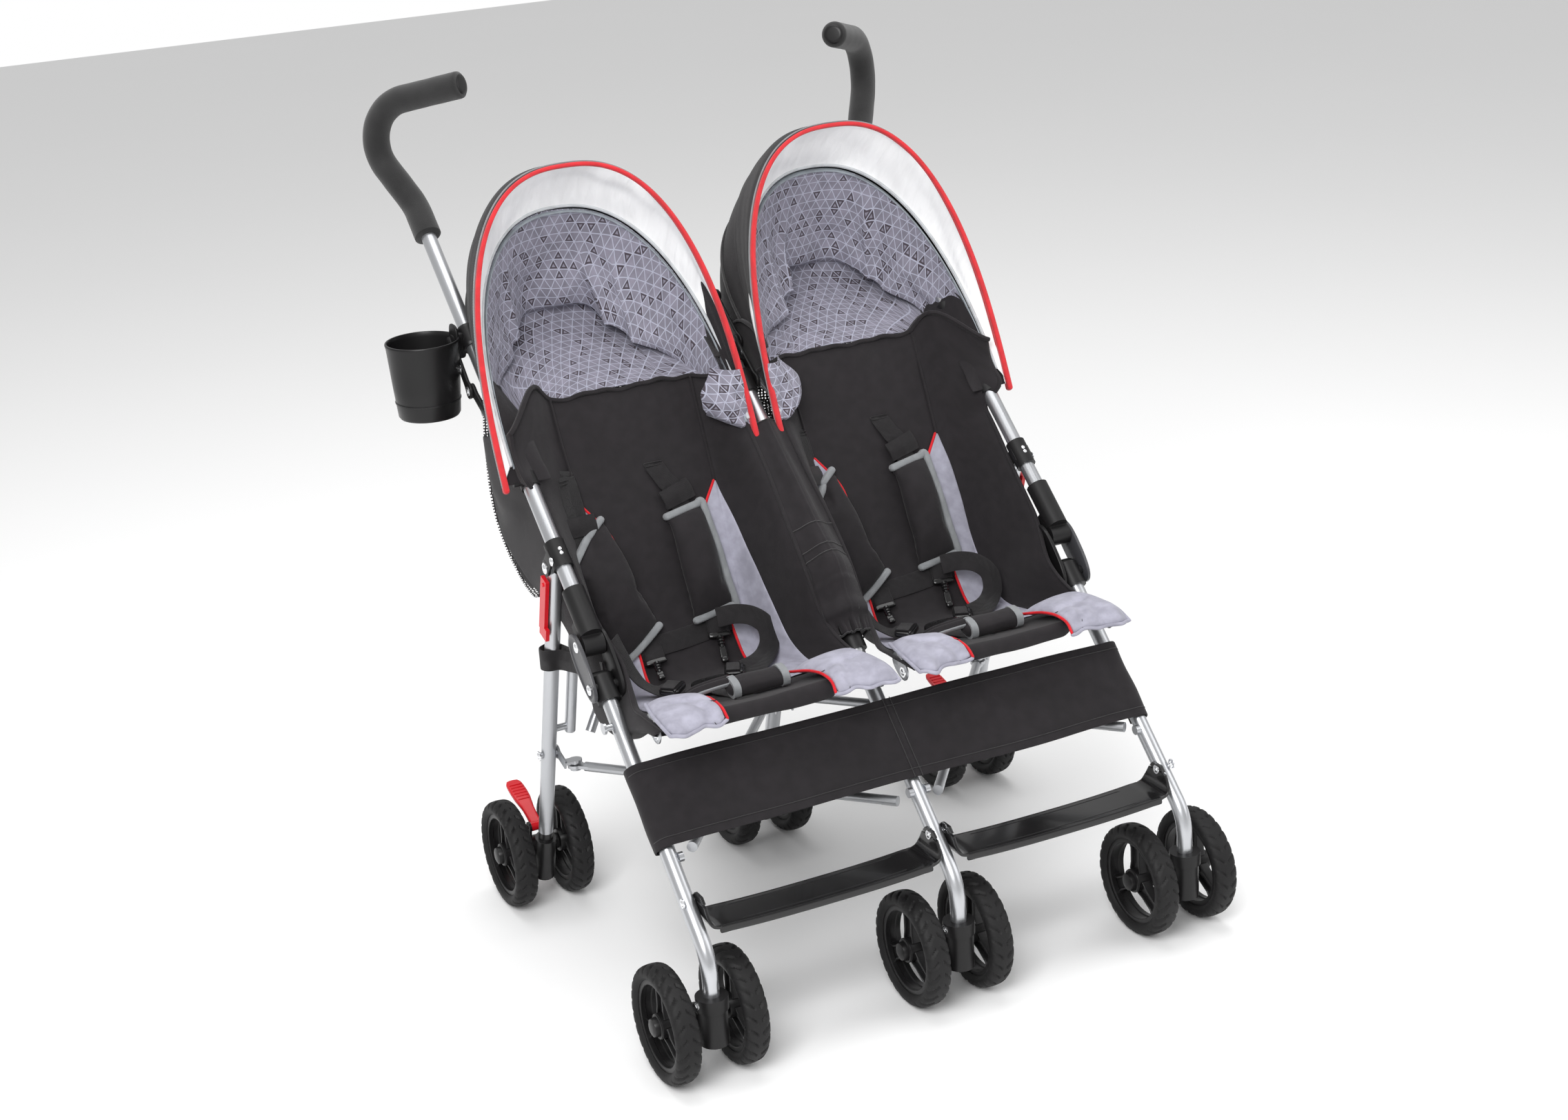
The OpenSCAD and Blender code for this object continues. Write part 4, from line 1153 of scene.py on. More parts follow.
SEAT_MIDDLE = [(0, (228, 668)), (0.3, (146, 510)), (0.52, (78, 372)), (0.6, (50, 344)),
               (0.7, (-16, 350)), (0.85, (-92, 370)), (1, (-158, 391))]
SEAT_OUTER = [(0, (206, 652)), (0.1, (196, 624)), (0.2, (146, 586)), (0.3, (98, 546)),
              (0.4, (58, 510)), (0.5, (14, 470)), (0.6, (-36, 420)), (0.7, (-78, 390)),
              (0.85, (-128, 388)), (1, (-180, 387))]
SEAT_INNER = [(0, (210, 662)), (0.3, (80, 546)), (0.5, (-4, 462)), (0.6, (-40, 415)),
              (0.7, (-78, 390)), (0.85, (-128, 388)), (1, (-180, 387))]
SEAT_HALF = [(0, 136), (0.25, 136), (0.4, 132), (0.62, 134), (0.75, 146), (1, 145)]
WING_OUTER = [(0.235, 0.675), (0.30, 0.735), (0.38, 0.78), (0.5, 0.815), (0.62, 0.825), (0.7, 0.80),
              (1.0, 0.80)]
WING_INNER = [(0.235, 0.655), (0.30, 0.47), (0.42, 0.48), (0.6, 0.50), (0.74, 0.49), (1.0, 0.47)]
# Inner and outer side of a quilted corner, from its back to its front edge: (way from the
# middle of the seat, y, z)
CORNER_INNER = [(0, (58, -88, 377)), (0.35, (67, -126, 389)), (0.6, (70, -152, 393)),
                (0.85, (71, -175, 390)), (1, (70, -185, 382))]
CORNER_OUTER = [(0, (136, -94, 390)), (0.5, (144, -138, 392)), (0.8, (147, -172, 391)),
                (1, (146, -196, 386))]
CORNER_UP = np.array([0.0, -0.3, 0.95])


def seat_point(side, u, t, lift=0.0):
    """Sling seat: the side-view line of the middle turns into the line of the edge over the
    outer third of the width; at the top the outer edge wraps the frame tube. Lift is along
    the surface's normal."""
    u, t = np.broadcast_arrays(np.asarray(u, float), t)
    out, t_in = u * side, np.clip(t, 0, 1)
    middle = through(SEAT_MIDDLE, t_in)
    line = middle + (smooth(out, 0.78, 1.0)[..., None] * (through(SEAT_OUTER, t_in) - middle)
                     + smooth(-out, 0.66, 1.0)[..., None] * (through(SEAT_INNER, t_in) - middle))
    x = side * PITCH / 2 + u * through(SEAT_HALF, t_in)[..., 0]
    x = x + side * 14 * smooth(out, 0.8, 1.0) * smooth(t, 0.62, 0.5)
    past = np.clip((t - 1) * 50, 0, 1.1 * np.pi) * smooth(np.abs(u), 0.62, 0.5)
    points = np.stack([x, line[..., 0] - 9 * np.sin(past), line[..., 1] - 9 * (1 - np.cos(past))],
                      -1)
    points[..., 2] -= 3 * (1 - np.abs(u)) * smooth(t, 0.6, 0.75)
    wrap = smooth(out, 0.72, 1.0) * smooth(t, 0.23, 0.14)
    points += wrap[..., None] * [side * 22, -44, 4]
    points[..., 2] += 26 * bump_at(out, 0.83, 0.09) * smooth(t, 0.1, 0.0)
    if np.ndim(lift) == 0 and lift == 0:
        return points
    e = 0.004
    across = seat_point(side, u + e, t) - seat_point(side, u - e, t)
    down = seat_point(side, u, t + e) - seat_point(side, u, t - e)
    return points + unit(np.cross(across, down)) * -np.asarray(lift, float)[..., None]


def seat_region(side, inner, outer, from_t, to_t, rows, cols, lift=0.0):
    """Grid of the seat between two lines u(t), with a lift that may be a function of (a, k)."""
    t = np.linspace(from_t, to_t, rows)[:, None]
    a = np.linspace(0, 1, cols)[None]
    u = mix(inner(t), outer(t), a)
    height = lift(a, (t - from_t) / (to_t - from_t)) if callable(lift) else lift
    return seat_point(side, u, t + 0 * a, height + 0 * u)


def wing_lines(m):
    """Inner and outer lines of the wing on side m of a seat."""
    return (lambda t: m * through(WING_INNER, t)[..., 0],
            lambda t: m * through(WING_OUTER, t)[..., 0])


def seat_ripple(side, u, t):
    """Slack of the sling: long vertical folds near the top and soft dents elsewhere."""
    top = smooth(t, 0.16, 0.0)
    return (2.2 * top * np.sin(7 * u + 1.5 * np.sin(3 * u) + side)
            + 1.6 * crumple(5 * u, 9 * t, side + 2.0))


class STROLLER_OT_seats(bpy.types.Operator):
    """Sling seats with side walls, lavender wings, quilted front corners and red piping"""

    bl_idname = "stroller.seats"
    bl_label = "Seats"

    def execute(self, context):
        pipe = context.scene.stroller_sizes.piping_width / MM
        for side in (LEFT, RIGHT):
            name = SIDE_NAMES[side]
            t = np.concatenate([np.linspace(0, 0.985, 90), np.linspace(0.99, 1.07, 18)])[:, None]
            u = np.linspace(-1, 1, 55)[None]
            sling = seat_point(side, u, t + 0 * u, seat_ripple(side, u, t))
            sheet(f"seat_{name}_sling", sling, "mid_frame", "black_cloth",
                  f"seat_{name}", wall=3.0)
            pipes = []
            for m in (-1, 1):
                inner, outer = wing_lines(m)
                wing = seat_region(side, inner, outer, 0.237, 0.79, 60, 22,
                                   lambda a, k: 2.6 + 1.2 * np.sin(np.pi * np.clip(a, 0.0,
                                                                                   1)) ** 0.5
                                   + 0.7 * crumple(3 * a, 12 * k, m + side))
                part = "inner" if m == -side else "outer"
                sheet(f"seat_{name}_wing_{part}", wing, "mid_frame", "grey_cloth",
                      wall=1.6)
                k = np.linspace(0, 1, 80)
                rows = mix(0.237, 0.77, k)
                corner_k = np.linspace(0.0, 1.03, 60)
                for line in (seat_point(side, inner(rows), rows, 3.6 + 0 * k),
                             corner_point(side, m, -0.01 + 0 * corner_k, corner_k, 5.0)):
                    pipes.append(strip(line, (pipe, pipe, 2, 12), (m, 0, 0)))
            piece(f"seat_{name}_piping", pipes, "mid_frame", ["red_piping"],
                  fold=True)
            quilted_corners(side)
            seat_seams(side)
        return {"FINISHED"}


def corner_point(side, m, a, k, lift=0.0):
    """Quilted corner: a goes from the piping to the outer side, k from the back to the front
    edge; the front edge is drawn in beside the piping and droops towards the tip."""
    a, k = np.broadcast_arrays(np.asarray(a, float), k)
    spot = mix(through(CORNER_INNER, k), through(CORNER_OUTER, k), a[..., None])
    spot = spot * [m, 1, 1] + [side * PITCH / 2, 0, 0]
    free = smooth(k, 0.55, 1.0)
    spot[..., 1] += ((9 * np.sin(np.pi * a) - 12 * (m < 0)) * (1 - k)
                     - free * (8 * bump_at(a, 0.78, 0.15) + 2.0 * np.sin(17 * a + side)))
    spot[..., 2] -= free * 1.6 * np.sin(13 * a + m)
    return spot + np.asarray(lift, float)[..., None] * CORNER_UP


def quilted_corners(side):
    """Padded front corners: pillow shapes, swollen between their sewn lines, whose over and
    under side meet at a thin bound rim."""
    name = SIDE_NAMES[side]
    a = np.linspace(0, 1, 48)[None]
    k = np.linspace(0, 1, 60)[:, None]
    cross = mix(0.56, 0.44, a)                    # sewn line from the piping outwards
    down = mix(0.40, 0.20, (k - 0.5) * 2)         # sewn line from there to the front edge
    off = np.minimum(np.abs(k - cross) * 120 + 90 * (a > 0.72),
                     np.abs(a - down) * 80 + 90 * (k < 0.5))
    rim = np.clip(6.4 * a * (1 - a), 0, 1) ** 0.5 * np.clip(7.2 * k * (1 - k), 0, 1) ** 0.5
    for m in (-1, 1):
        high = 4.0 + 10.0 * rim * (1 - 0.62 * bump_at(off, 0, 4.5)) + 0.8 * rim * crumple(
            8 * a, 7 * k, m + side)
        over = corner_point(side, m, a, k, high)
        under = corner_point(side, m, a, k, 1.5 - 4.0 * rim)
        shell = np.concatenate([over, under[:, ::-1], over[:, :1]], axis=1)
        caps = [mix(row, row[::-1], 0.5)[None] for row in (shell[0], shell[-1])]
        shell = np.concatenate([caps[0], shell, caps[1]])
        part = "inner" if m == -side else "outer"
        padded(f"seat_{name}_corner_{part}", shell, "quilt", "grey_fabric", 4.0, 0.6,
               np.concatenate([over[off < 1.5], under[:, 0], over[:, -1], over[0], over[-1]]))
        w = np.linspace(0, 1, 40)
        threads = []
        for aa, kk in ((0.72 * w, mix(0.56, 0.44, 0.72 * w)),
                       (mix(0.40, 0.20, w), mix(0.5, 1.0, w))):
            line = corner_point(side, m, aa, kk, 7.6 - 3.0 * smooth(kk, 0.9, 1.0))
            threads.append(strip(line, (1.0, 1.0, 2, 8), (0, -0.2, 1.0)))
        rims = np.concatenate([corner_point(side, m, 0 * w + 1.0, w, 3.4),
                               corner_point(side, m, 1 - w[1:], 0 * w[1:] + 1.0, 3.0)])
        threads.append(strip(rims, (4.6, 4.6, 2, 12), (0, -0.3, 1.0), 1))
        piece(f"seat_{name}_corner_{part}_seams", threads, "mid_frame",
              ["black_binding", "grey_cloth"], fold=True)


def seat_seams(side):
    """Raised seams of the black seat: both sides of the back panel above the wings, the side
    edges, and a bound top edge."""
    name = SIDE_NAMES[side]
    seams = []
    k = np.linspace(0, 1, 90)
    for m in (-1, 1):
        t = 0.235 * k
        wall = seat_point(side, m * (0.70 - 0.15 * t), t, 3.0 + 0 * k)
        seams.append(strip(wall, (3.0, 2.4, 2, 10), (0, -0.6, 0.8)))
        edge = seat_point(side, m * 0.995 + 0 * t, 0.98 * k, 1.0 + 0 * k)
        seams.append(strip(edge, (3.4, 4.6, 3, 12), (m, 0, 0)))
    top = seat_point(side, mix(-1, 1, k), 0.0 * k, seat_ripple(side, mix(-1, 1, k), 0 * k))
    wavy = top + np.stack([0 * k, 0 * k, 1.5 * np.sin(21 * k) + 1.0 * np.sin(47 * k)], -1)
    seams.append(strip(wavy, (5.5, 11.0, 4, 16), (0, -0.9, 0.4)))
    piece(f"seat_{name}_seams", seams, "mid_frame", ["black_cloth"],
          fold=True)


# ---------- canopies ----------

# Side-view lines of the hoods and their linings from the front arch back, at the foot and at
# the crown: (way, (y, z)); then half the width, and how far the hood leans outwards

HOOD_FOOT = [(0, (141, 595)), (0.18, (170, 644)), (0.34, (206, 692)), (0.6, (262, 716)),
             (0.8, (284, 700)), (1, (270, 672))]
HOOD_CROWN = [(0, (288, 940)), (0.18, (340, 930)), (0.34, (380, 904)), (0.6, (416, 836)),
              (0.8, (398, 745)), (1, (300, 668))]
HOOD_HALF = [(0, 166), (0.18, 159), (0.34, 151), (0.6, 147), (0.8, 143), (1, 138)]
HOOD_LEAN = [(0, 24), (0.18, 25), (0.34, 24), (0.6, 16), (0.8, 8), (1, 2)]
LINER_FOOT = [(0, (152, 622)), (0.12, (160, 594)), (0.3, (178, 604)), (0.6, (212, 640)),
              (0.8, (226, 658)), (1, (216, 658))]
LINER_CROWN = [(0, (342, 880)), (0.25, (362, 828)), (0.5, (384, 766)), (0.6, (388, 740)),
               (0.8, (318, 698)), (1, (238, 668))]
LINER_HALF = [(0, 157), (0.12, 150), (0.3, 143), (0.6, 139), (1, 134)]


def arch(side, a, foot, crown, half, lean, powers, tight=0.0, ahead=0.0):
    """Half hoop: a is -90 to 90 degrees from the outer to the inner foot. Height and width go
    with the cosine and sine of a to the two powers; tight pulls the hoop in, down and, by
    ahead, forwards."""
    rise = np.clip(np.cos(np.radians(a)), 0, 1)[..., None] ** powers[0][..., None]
    line = mix(foot, crown, rise)
    wide = np.sign(a) * np.abs(np.sin(np.radians(a))) ** powers[1]
    x = (half - tight) * wide
    return np.stack([side * (PITCH / 2 + lean - x), line[..., 0] - ahead * tight * rise[..., 0],
                     line[..., 1] - (1 - 0.6 * ahead) * tight * rise[..., 0]], -1)


def hood_point(side, a, t, tight=0.0):
    a, t = np.broadcast_arrays(np.asarray(a, float), t)
    back = smooth(t, 0.0, 0.34)
    return arch(side, a, through(HOOD_FOOT, t), through(HOOD_CROWN, t),
                through(HOOD_HALF, t)[..., 0], through(HOOD_LEAN, t)[..., 0],
                (0.74 + 0.12 * back, 0.80 + 0.12 * back), tight)


def liner_point(side, a, k, tight=0.0):
    a, k = np.broadcast_arrays(np.asarray(a, float), k)
    return arch(side, a, through(LINER_FOOT, k), through(LINER_CROWN, k),
                through(LINER_HALF, k)[..., 0], 20 * smooth(k, 1.0, 0.4),
                (0.85 + 0 * k, 0.86 + 0 * k), tight, smooth(k, 0.15, 0.5))


def liner_folds(side, a, k):
    """How far the lining hangs in: it sags towards the crease where the ceiling meets the
    back, most beside the inner foot, with sharp pleats that end in a deep tuck there."""
    crown = np.clip(np.cos(np.radians(a)), 0, 1)
    ceiling = smooth(k, 0.60, 0.535)
    sag = (12 + 42 * bump_at(a, 46, 26) + 16 * bump_at(a, -50, 20)) * np.clip(k / 0.54, 0, 1) ** 1.5
    pleats = (13 * np.exp(-np.abs(a + 32 + 20 * (k - 0.3)) / 4.0) * smooth(k, 0.04, 0.25)
              + 18 * np.exp(-np.abs(a - 14 - 50 * (k - 0.3)) / 4.5) * smooth(k, 0.15, 0.42)
              + 11 * np.exp(-np.abs(a - 34 - 60 * (k - 0.3)) / 5.0) * smooth(k, 0.1, 0.3)
              + 8 * np.exp(-np.abs(a + 60 - 20 * k) / 5.0) * smooth(k, 0.05, 0.3))
    gathers = 4.0 * np.sin(np.radians(13 * a + 160 * k)) * bump_at(k, 0.48, 0.14)
    back = (5.0 * crumple(a / 16, 9 * k, side + 1.0) + 12 * np.exp(-np.abs(a - 24 - 8 * k) / 5.0)
            ) * smooth(k, 0.6, 0.70) * smooth(k, 1.0, 0.93)
    return ((sag + pleats + gathers) * ceiling * crown ** 0.3 + back
            + 2.6 * crumple(a / 8, 12 * k, side) * crown ** 0.25)


def print_map(points, crease):
    """Where the print lies: across and up are the ways walked over the cloth, from the
    crown's line and from the crease row."""
    walks = []
    for axis, start in ((1, points.shape[1] // 2), (0, crease)):
        step = np.linalg.norm(np.diff(points, axis=axis), axis=2)
        walk = np.cumsum(np.insert(step, 0, 0.0, axis=axis), axis=axis)
        walks.append(walk - np.take(walk, [start], axis=axis))
    return np.stack([walks[0], -walks[1]], -1)


class STROLLER_OT_canopies(bpy.types.Operator):
    """Two canopies: outer shells, coated visor lining, bound arches, bows and printed lining"""

    bl_idname = "stroller.canopies"
    bl_label = "Canopies"

    def execute(self, context):
        sizes = context.scene.stroller_sizes
        for side in (LEFT, RIGHT):
            name = SIDE_NAMES[side]
            body = f"canopy_{name}"
            a = np.linspace(-90, 90, 91)[None]
            visor_t = np.linspace(0, 0.385, 26)[:, None]
            bulge = 1.0 * crumple(a / 12, 16 * visor_t, side)
            shell = hood_point(side, a, visor_t + 0 * a, -2.6 + bulge * smooth(visor_t, 0, 0.1))
            sheet(f"canopy_{name}_shell", shell, body, "black_cloth",
                  f"canopy_front_{name}", wall=1.6)
            self.visor(side, name, body, sizes)
            self.lining(side, name)
            t = np.linspace(0.33, 1.0, 44)[:, None]
            sag = 2.2 * np.sin(np.pi * (t - 0.33) / 0.67 * 2) ** 2 + 1.3 * crumple(a / 10, 10 * t,
                                                                                   side)
            cover = hood_point(side, a, t + 0 * a, sag)
            sheet(f"hood_{name}_shell", cover, "mid_frame", "black_cloth",
                  "canopy_hoods", wall=1.6)
            self.seams(side, name)
        return {"FINISHED"}

    def visor(self, side, name, body, sizes):
        """Coated lining from the front arch back to the bow, the red bound edge and the bow."""
        a = np.linspace(-90, 90, 121)
        front = hood_point(side, a, 0 * a, 1.5)
        bow = liner_point(side, a, 0 * a, -1.0)
        k = np.linspace(0, 1, 16)[:, None]
        radial = np.sin(a[None] / 3.1 + 2.2 * np.sin(a[None] / 17)) * bump_at(np.abs(a[None]), 62,
                                                                              24)
        belly = ((5 + 2.2 * radial + 4.5 * crumple(a[None] / 9, 3 * k, side + 3))
                 * np.sin(np.pi * k) ** 0.7)[..., None]
        mid = mix(front[None], bow[None], k[..., None])
        inward = unit(np.stack([0 * a + side * PITCH / 2, 0 * a + 240, 0 * a + 700], -1) - front)
        lining = mid + belly * -inward[None]
        sheet(f"canopy_{name}_visor", lining, body, "visor",
              wall=0.8)
        facing = np.array([0.0, -0.9, 0.42])
        width = sizes.binding_width / MM
        edge = hood_point(side, a, 0 * a, -1.0)
        slim = 1 - 0.3 * np.cos(np.radians(a))
        tape = sweep(edge, oval(width * 0.75, width, 3.5, 20), facing, slim, "round")
        piece(f"canopy_{name}_binding", [patch(tape)], body, ["red_binding"],
              fold=True)
        line = sweep(hood_point(side, a, 0.018 + 0 * a, -4.5), oval(2.6, 3.2, 2, 12), facing, 1.0,
                     "round")
        piece(f"canopy_{name}_outline", [patch(line)], body, ["grey_binding"],
              fold=True)
        pipe = sweep(bow, oval(4.5, 5.0, 2.2, 16), facing, 1.0, "round")
        # Grey sleeve under the bow: a cloth band that is also the bow's painted shadow.
        sleeve = sweep(liner_point(side, a, 0.022 + 0 * a, 1.0), oval(2.4, 8, 3, 16),
                       (0, -0.9, -0.45), 1.0, "round")
        piece(f"canopy_{name}_bow", [patch(pipe), patch(sleeve, 1)], body,
              ["bow", "shadow_tape"], fold=True)

    def lining(self, side, name):
        """Printed lining that sags from the bow to the top of the seat back."""
        a = np.linspace(-90, 90, 161)[None]
        k = np.linspace(0.02, 1.0, 150)[:, None]
        lining = liner_point(side, a, k + 0 * a, liner_folds(side, a, k))
        where = print_map(liner_point(side, a, k + 0 * a), int(np.searchsorted(k[:, 0], 0.58)))
        sheet(f"canopy_{name}_lining", lining, "mid_frame", "print",
              print_at=where, wall=1.0, levels=0)

    def seams(self, side, name):
        """Bows under the outer shell and its bound lower edge."""
        a = np.linspace(-90, 90, 91)
        seams = [strip(hood_point(side, a, t + 0 * a, -1.5), (3.0, 6.0, 3, 12),
                       (0, -0.4, 0.9)) for t in (0.6, 0.995)]
        t = np.linspace(0.34, 1.0, 40)
        for end in (-90, 90):
            seams.append(strip(hood_point(side, end + 0 * t, t, 0.5), (4, 9, 3, 12), (side, 0, 0)))
        piece(f"hood_{name}_seams", seams, "mid_frame", ["black_binding"],
              fold=True)


# ---------- covers between the legs ----------


class STROLLER_OT_calf_panel(bpy.types.Operator):
    """Calf panel: doubled cloth wrapped round the outer legs, with a middle seam and hems"""

    bl_idname = "stroller.calf_panel"
    bl_label = "Calf panel"

    def execute(self, context):
        bend = PITCH + 12.5
        across = curve([(-bend + 18, 12), (-bend + 2, 10), (-bend - 0.5, 0), (-bend + 5, -11),
                        (-bend + 30, -14.0), (-160, -14.8), (-30, -16), (0, -16), (30, -16),
                        (160, -14.8), (bend - 30, -14.0), (bend - 5, -11), (bend + 0.5, 0),
                        (bend - 2, 10), (bend - 18, 12)], 221)
        s = np.linspace(158, 262, 41)[:, None]
        x, n = across[None, :, 0], across[None, :, 1]
        k = (s - 158) / 104
        slack = np.sin(np.pi * np.clip(np.abs(x) / PITCH, 0, 1)) ** 2
        drawn = bump_at(np.abs(x), PITCH, 34) * np.sin(9 * k + x / 40)
        n = n - 1.4 * slack * crumple(x / 55, 4 * k, 2.0) - 1.3 * drawn - 1.6 * bump_at(x, 0, 2.6)
        edge = 1.5 * np.sin(x / 70) * (k - 0.5) + 2.5 * slack * (k - 0.4)
        cloth_grid = lower(s + edge, n, x)
        sheet("calf_panel_cloth", cloth_grid, "middle_front_leg", "black_cloth",
              "calf_panel", wall=2.2)
        hems = []
        for row in (4, -5):
            hems.append(strip(cloth_grid[row] + 1.6 * LOWER_OUT, (1.2, 1.4, 2, 8), LOWER_OUT))
        for col in (109, 112):
            hems.append(strip(cloth_grid[:, col] + 1.5 * LOWER_OUT, (1.2, 1.4, 2, 8), LOWER_OUT))
        piece("calf_panel_hems", hems, "middle_front_leg", ["black_binding"],
              fold=True)
        return {"FINISHED"}


class STROLLER_OT_footrests(bpy.types.Operator):
    """Glossy moulded straps with turned-up ears, a rolled rim and screws"""

    bl_idname = "stroller.footrests"
    bl_label = "Footrests"

    def execute(self, context):
        half = PITCH / 2 - TUBE_R - 1.6
        for side in (LEFT, RIGHT):
            x0 = side * PITCH / 2
            line = [(-half, 216), (-half, 204), (-half + 0.6, 194), (-half + 4, 186.4),
                    (-half + 11, 183.4), (-half + 26, 182.4), (0, 179.6)]
            line += [(-x, z) for x, z in line[-2::-1]]
            path = curve([(x, 0, z) for x, z in line], 121) + [x0, -249, 0]
            near = np.minimum(path[:, 0] - path[0, 0], path[-1, 0] - path[:, 0])
            ear = smooth(path[:, 2], 186, 214)
            tip = np.sqrt(np.clip(1 - smooth(path[:, 2], 203, 217.5) ** 2 * 0.75, 0.2, 1))
            size = np.stack([(1 - 0.42 * ear) * tip, 0 * ear + 1], -1)
            plate = sweep(path, oval(54, 4.2, 9, 40), (0, 0, 1), size)
            tilt = np.stack([-np.gradient(path[:, 2]), 0 * near, np.gradient(path[:, 0])], -1)
            out = unit(tilt)
            rims = []
            for m in (-1, 1):
                rim = path[14:-14] + [0, m * 25.5, 0] + out[14:-14] * -2.2
                rims.append(strip(rim, (3.6, 9, 4, 16), (0, 0, 1)))
                groove = path[24:-24] + [0, m * 19, 0] + out[24:-24] * 2.2
                rims.append(strip(groove, (1.4, 0.9, 2, 8), (0, 0, 1)))
            name = SIDE_NAMES[side]
            made = piece(f"footrest_{name}_strap", [patch(plate)] + rims, "middle_front_leg",
                         ["gloss_plastic"], fold=True)
            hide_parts("footrests")
            screws = []
            for m in (-1, 1):
                screws += rivet(np.array([x0 + m * (half - 2.6), -249, 209]), (-m, 0, 0), 0.95)
            piece(f"footrest_{name}_screws", screws, "middle_front_leg", ["chrome"],
                  fold=True)
        return {"FINISHED"}


class STROLLER_OT_storage_bag(bpy.types.Operator):
    """Net basket behind the seats, with a taped mouth and a cloth bottom"""

    bl_idname = "stroller.storage_bag"
    bl_label = "Storage bag"

    def execute(self, context):
        outline = curve([(285, 655), (268, 600), (245, 540), (214, 480), (190, 440), (200, 421),
                         (235, 422), (271, 436), (313, 465), (341, 511), (350, 559), (346, 610),
                         (336, 655)], 71)
        x = np.linspace(-304, 304, 91)[:, None]
        edge = smooth(np.abs(x), 304, 262)
        middle = np.array([278.0, 556.0])
        y = middle[0] + (outline[None, :, 0] - middle[0]) * (0.94 + 0.06 * edge)
        z = middle[1] + (outline[None, :, 1] - middle[1]) * (0.97 + 0.03 * edge)
        low = smooth(outline[None, :, 1], 560, 440)
        z = z - 5 * low * np.cos(x / PITCH * np.pi * 2 + np.pi) + 2 * crumple(x / 60, z / 50,
                                                                              1.0) * low
        y = y + 2.5 * crumple(x / 45, z / 40, 4.0) * smooth(y, 260, 300)
        net_grid = np.stack([x + 0 * y, y, z], -1)
        sheet("storage_bag_net", net_grid, "mid_frame", "net",
              "storage_bag")
        tapes = [strip(net_grid[:, col], (3, 16, 4, 12), (0, -1, 0.1))
                 for col in (0, -1)]
        rings = np.linspace(0, 1, 14)[:, None, None]
        for row in (net_grid[0], net_grid[-1]):
            centre = row.mean(axis=0)
            rim = row + (centre - row) * (0.10 + 0.10 * smooth(row[:, 1:2], 230, 320))
            tapes.append(patch(mix(rim[None], centre, rings) + 3 * np.sin(6 * rings) * [1, 0, 0],
                               1))
        piece("storage_bag_tape", tapes, "mid_frame", ["black_binding", "black_cloth"],
              fold=True)
        return {"FINISHED"}


# ---------- harness ----------


def seat_normal(side, u, t):
    """Direction out of the seat towards the child, at arrays of u and t."""
    return unit(seat_point(side, u, t, np.ones_like(u)) - seat_point(side, u, t))


def rest_point(side, u, t, lift):
    """Where harness cloth lies: on the seat, and beyond the foot of a side wall on a slope
    that bridges the corner there."""
    foot = np.clip(u, -0.7, 0.7)
    past = (u - foot) * 135
    slope = np.abs(past)[..., None] * [0, -0.5, 0.12]
    return (seat_point(side, foot, t, lift) + slope
            + past[..., None] * [1.0, 0, 0])


def on_seat(side, spots, count):
    """Smooth path through rows of (x from the seat's middle, t, lift), and its normals."""
    spots = curve(np.asarray(spots, float), count)
    x, t, lift = spots.T
    u = x / through(SEAT_HALF, np.clip(t, 0, 1))[..., 0]
    return rest_point(side, u, t, lift), seat_normal(side, np.clip(u, -0.7, 0.7), t)


def tape(side, spots, width, thick=1.7, count=48):
    """Flat strap that lies along a path on the seat."""
    path, out = on_seat(side, spots, count)
    return sweep(path, oval(width, thick, 6, 20), out)


def pad_place(pad, v, a):
    """x and t on a shoulder pad at v down it and a across it; pad holds the side that is
    bound, the x of its top and bottom, the t of both, and its width."""
    _, x0, x1, t0, t1, width = pad
    v, a = np.broadcast_arrays(np.asarray(v, float), a)
    lean = (x1 - x0) / (400 * (t1 - t0))
    wide = width * (0.92 + 0.14 * v) * (1 - 0.02 * np.sin(3 * np.pi * v))
    return mix(x0, x1, v) + a * wide / 2, mix(t0, t1, v) - lean * a * width / 800


def shoulder_pad(side, pad, thick):
    """Folded pad: thickness is crown(a) times the ends' rounding; it is round on its folded
    side and thin on the side that is bound. a is -1..1 across, v 0..1 down the pad."""
    v = np.linspace(0, 1, 60)[:, None]
    a = np.linspace(-1, 1, 34)[None]
    fold = a * -pad[0]
    crown = np.where(fold > 0, (1 - np.clip(fold, 0, 1) ** 3.0) ** 0.5,
                     (1 - np.clip(-fold, 0, 1) ** 2.0) ** 0.7)
    ends = np.clip(1 - np.abs(2 * v - 1) ** 2.8, 0, 1) ** 0.65
    slump = 1 + 0.09 * np.sin(5 * v + 2.0 * a + side) + 0.05 * np.sin(13 * v + 3 * a)
    x, t = pad_place(pad, v, a)
    u = x / through(SEAT_HALF, t)[..., 0]
    over = rest_point(side, u, t, 3.0 + thick * (0.12 + 0.88 * crown * ends) * slump)
    under = rest_point(side, u, t, 2.4 + 0 * u)
    ring = np.concatenate([over, under[:, ::-1], over[:, :1]], axis=1)
    cap = [np.broadcast_to(row.mean(axis=0), (1,) + row.shape) for row in (ring[0], ring[-1])]
    return np.concatenate([cap[0], ring, cap[1]])


def pad_binding(side, pad):
    """Grey binding round the top, the bound side and the bottom of a pad."""
    v = np.concatenate([np.full(9, 0.0), np.linspace(0.02, 0.98, 40), np.full(9, 1.0)])
    a = pad[0] * np.concatenate([np.linspace(-0.94, 1.0, 9), np.full(40, 1.03),
                                 np.linspace(1.0, -0.90, 9)])
    x, t = pad_place(pad, v, a)
    path, out = on_seat(side, np.stack([x, t, 7.0 + 0.6 * np.sin(9 * v)], -1), 150)
    return sweep(path, oval(9.5, 10.5, 3, 24), out, ends="round")


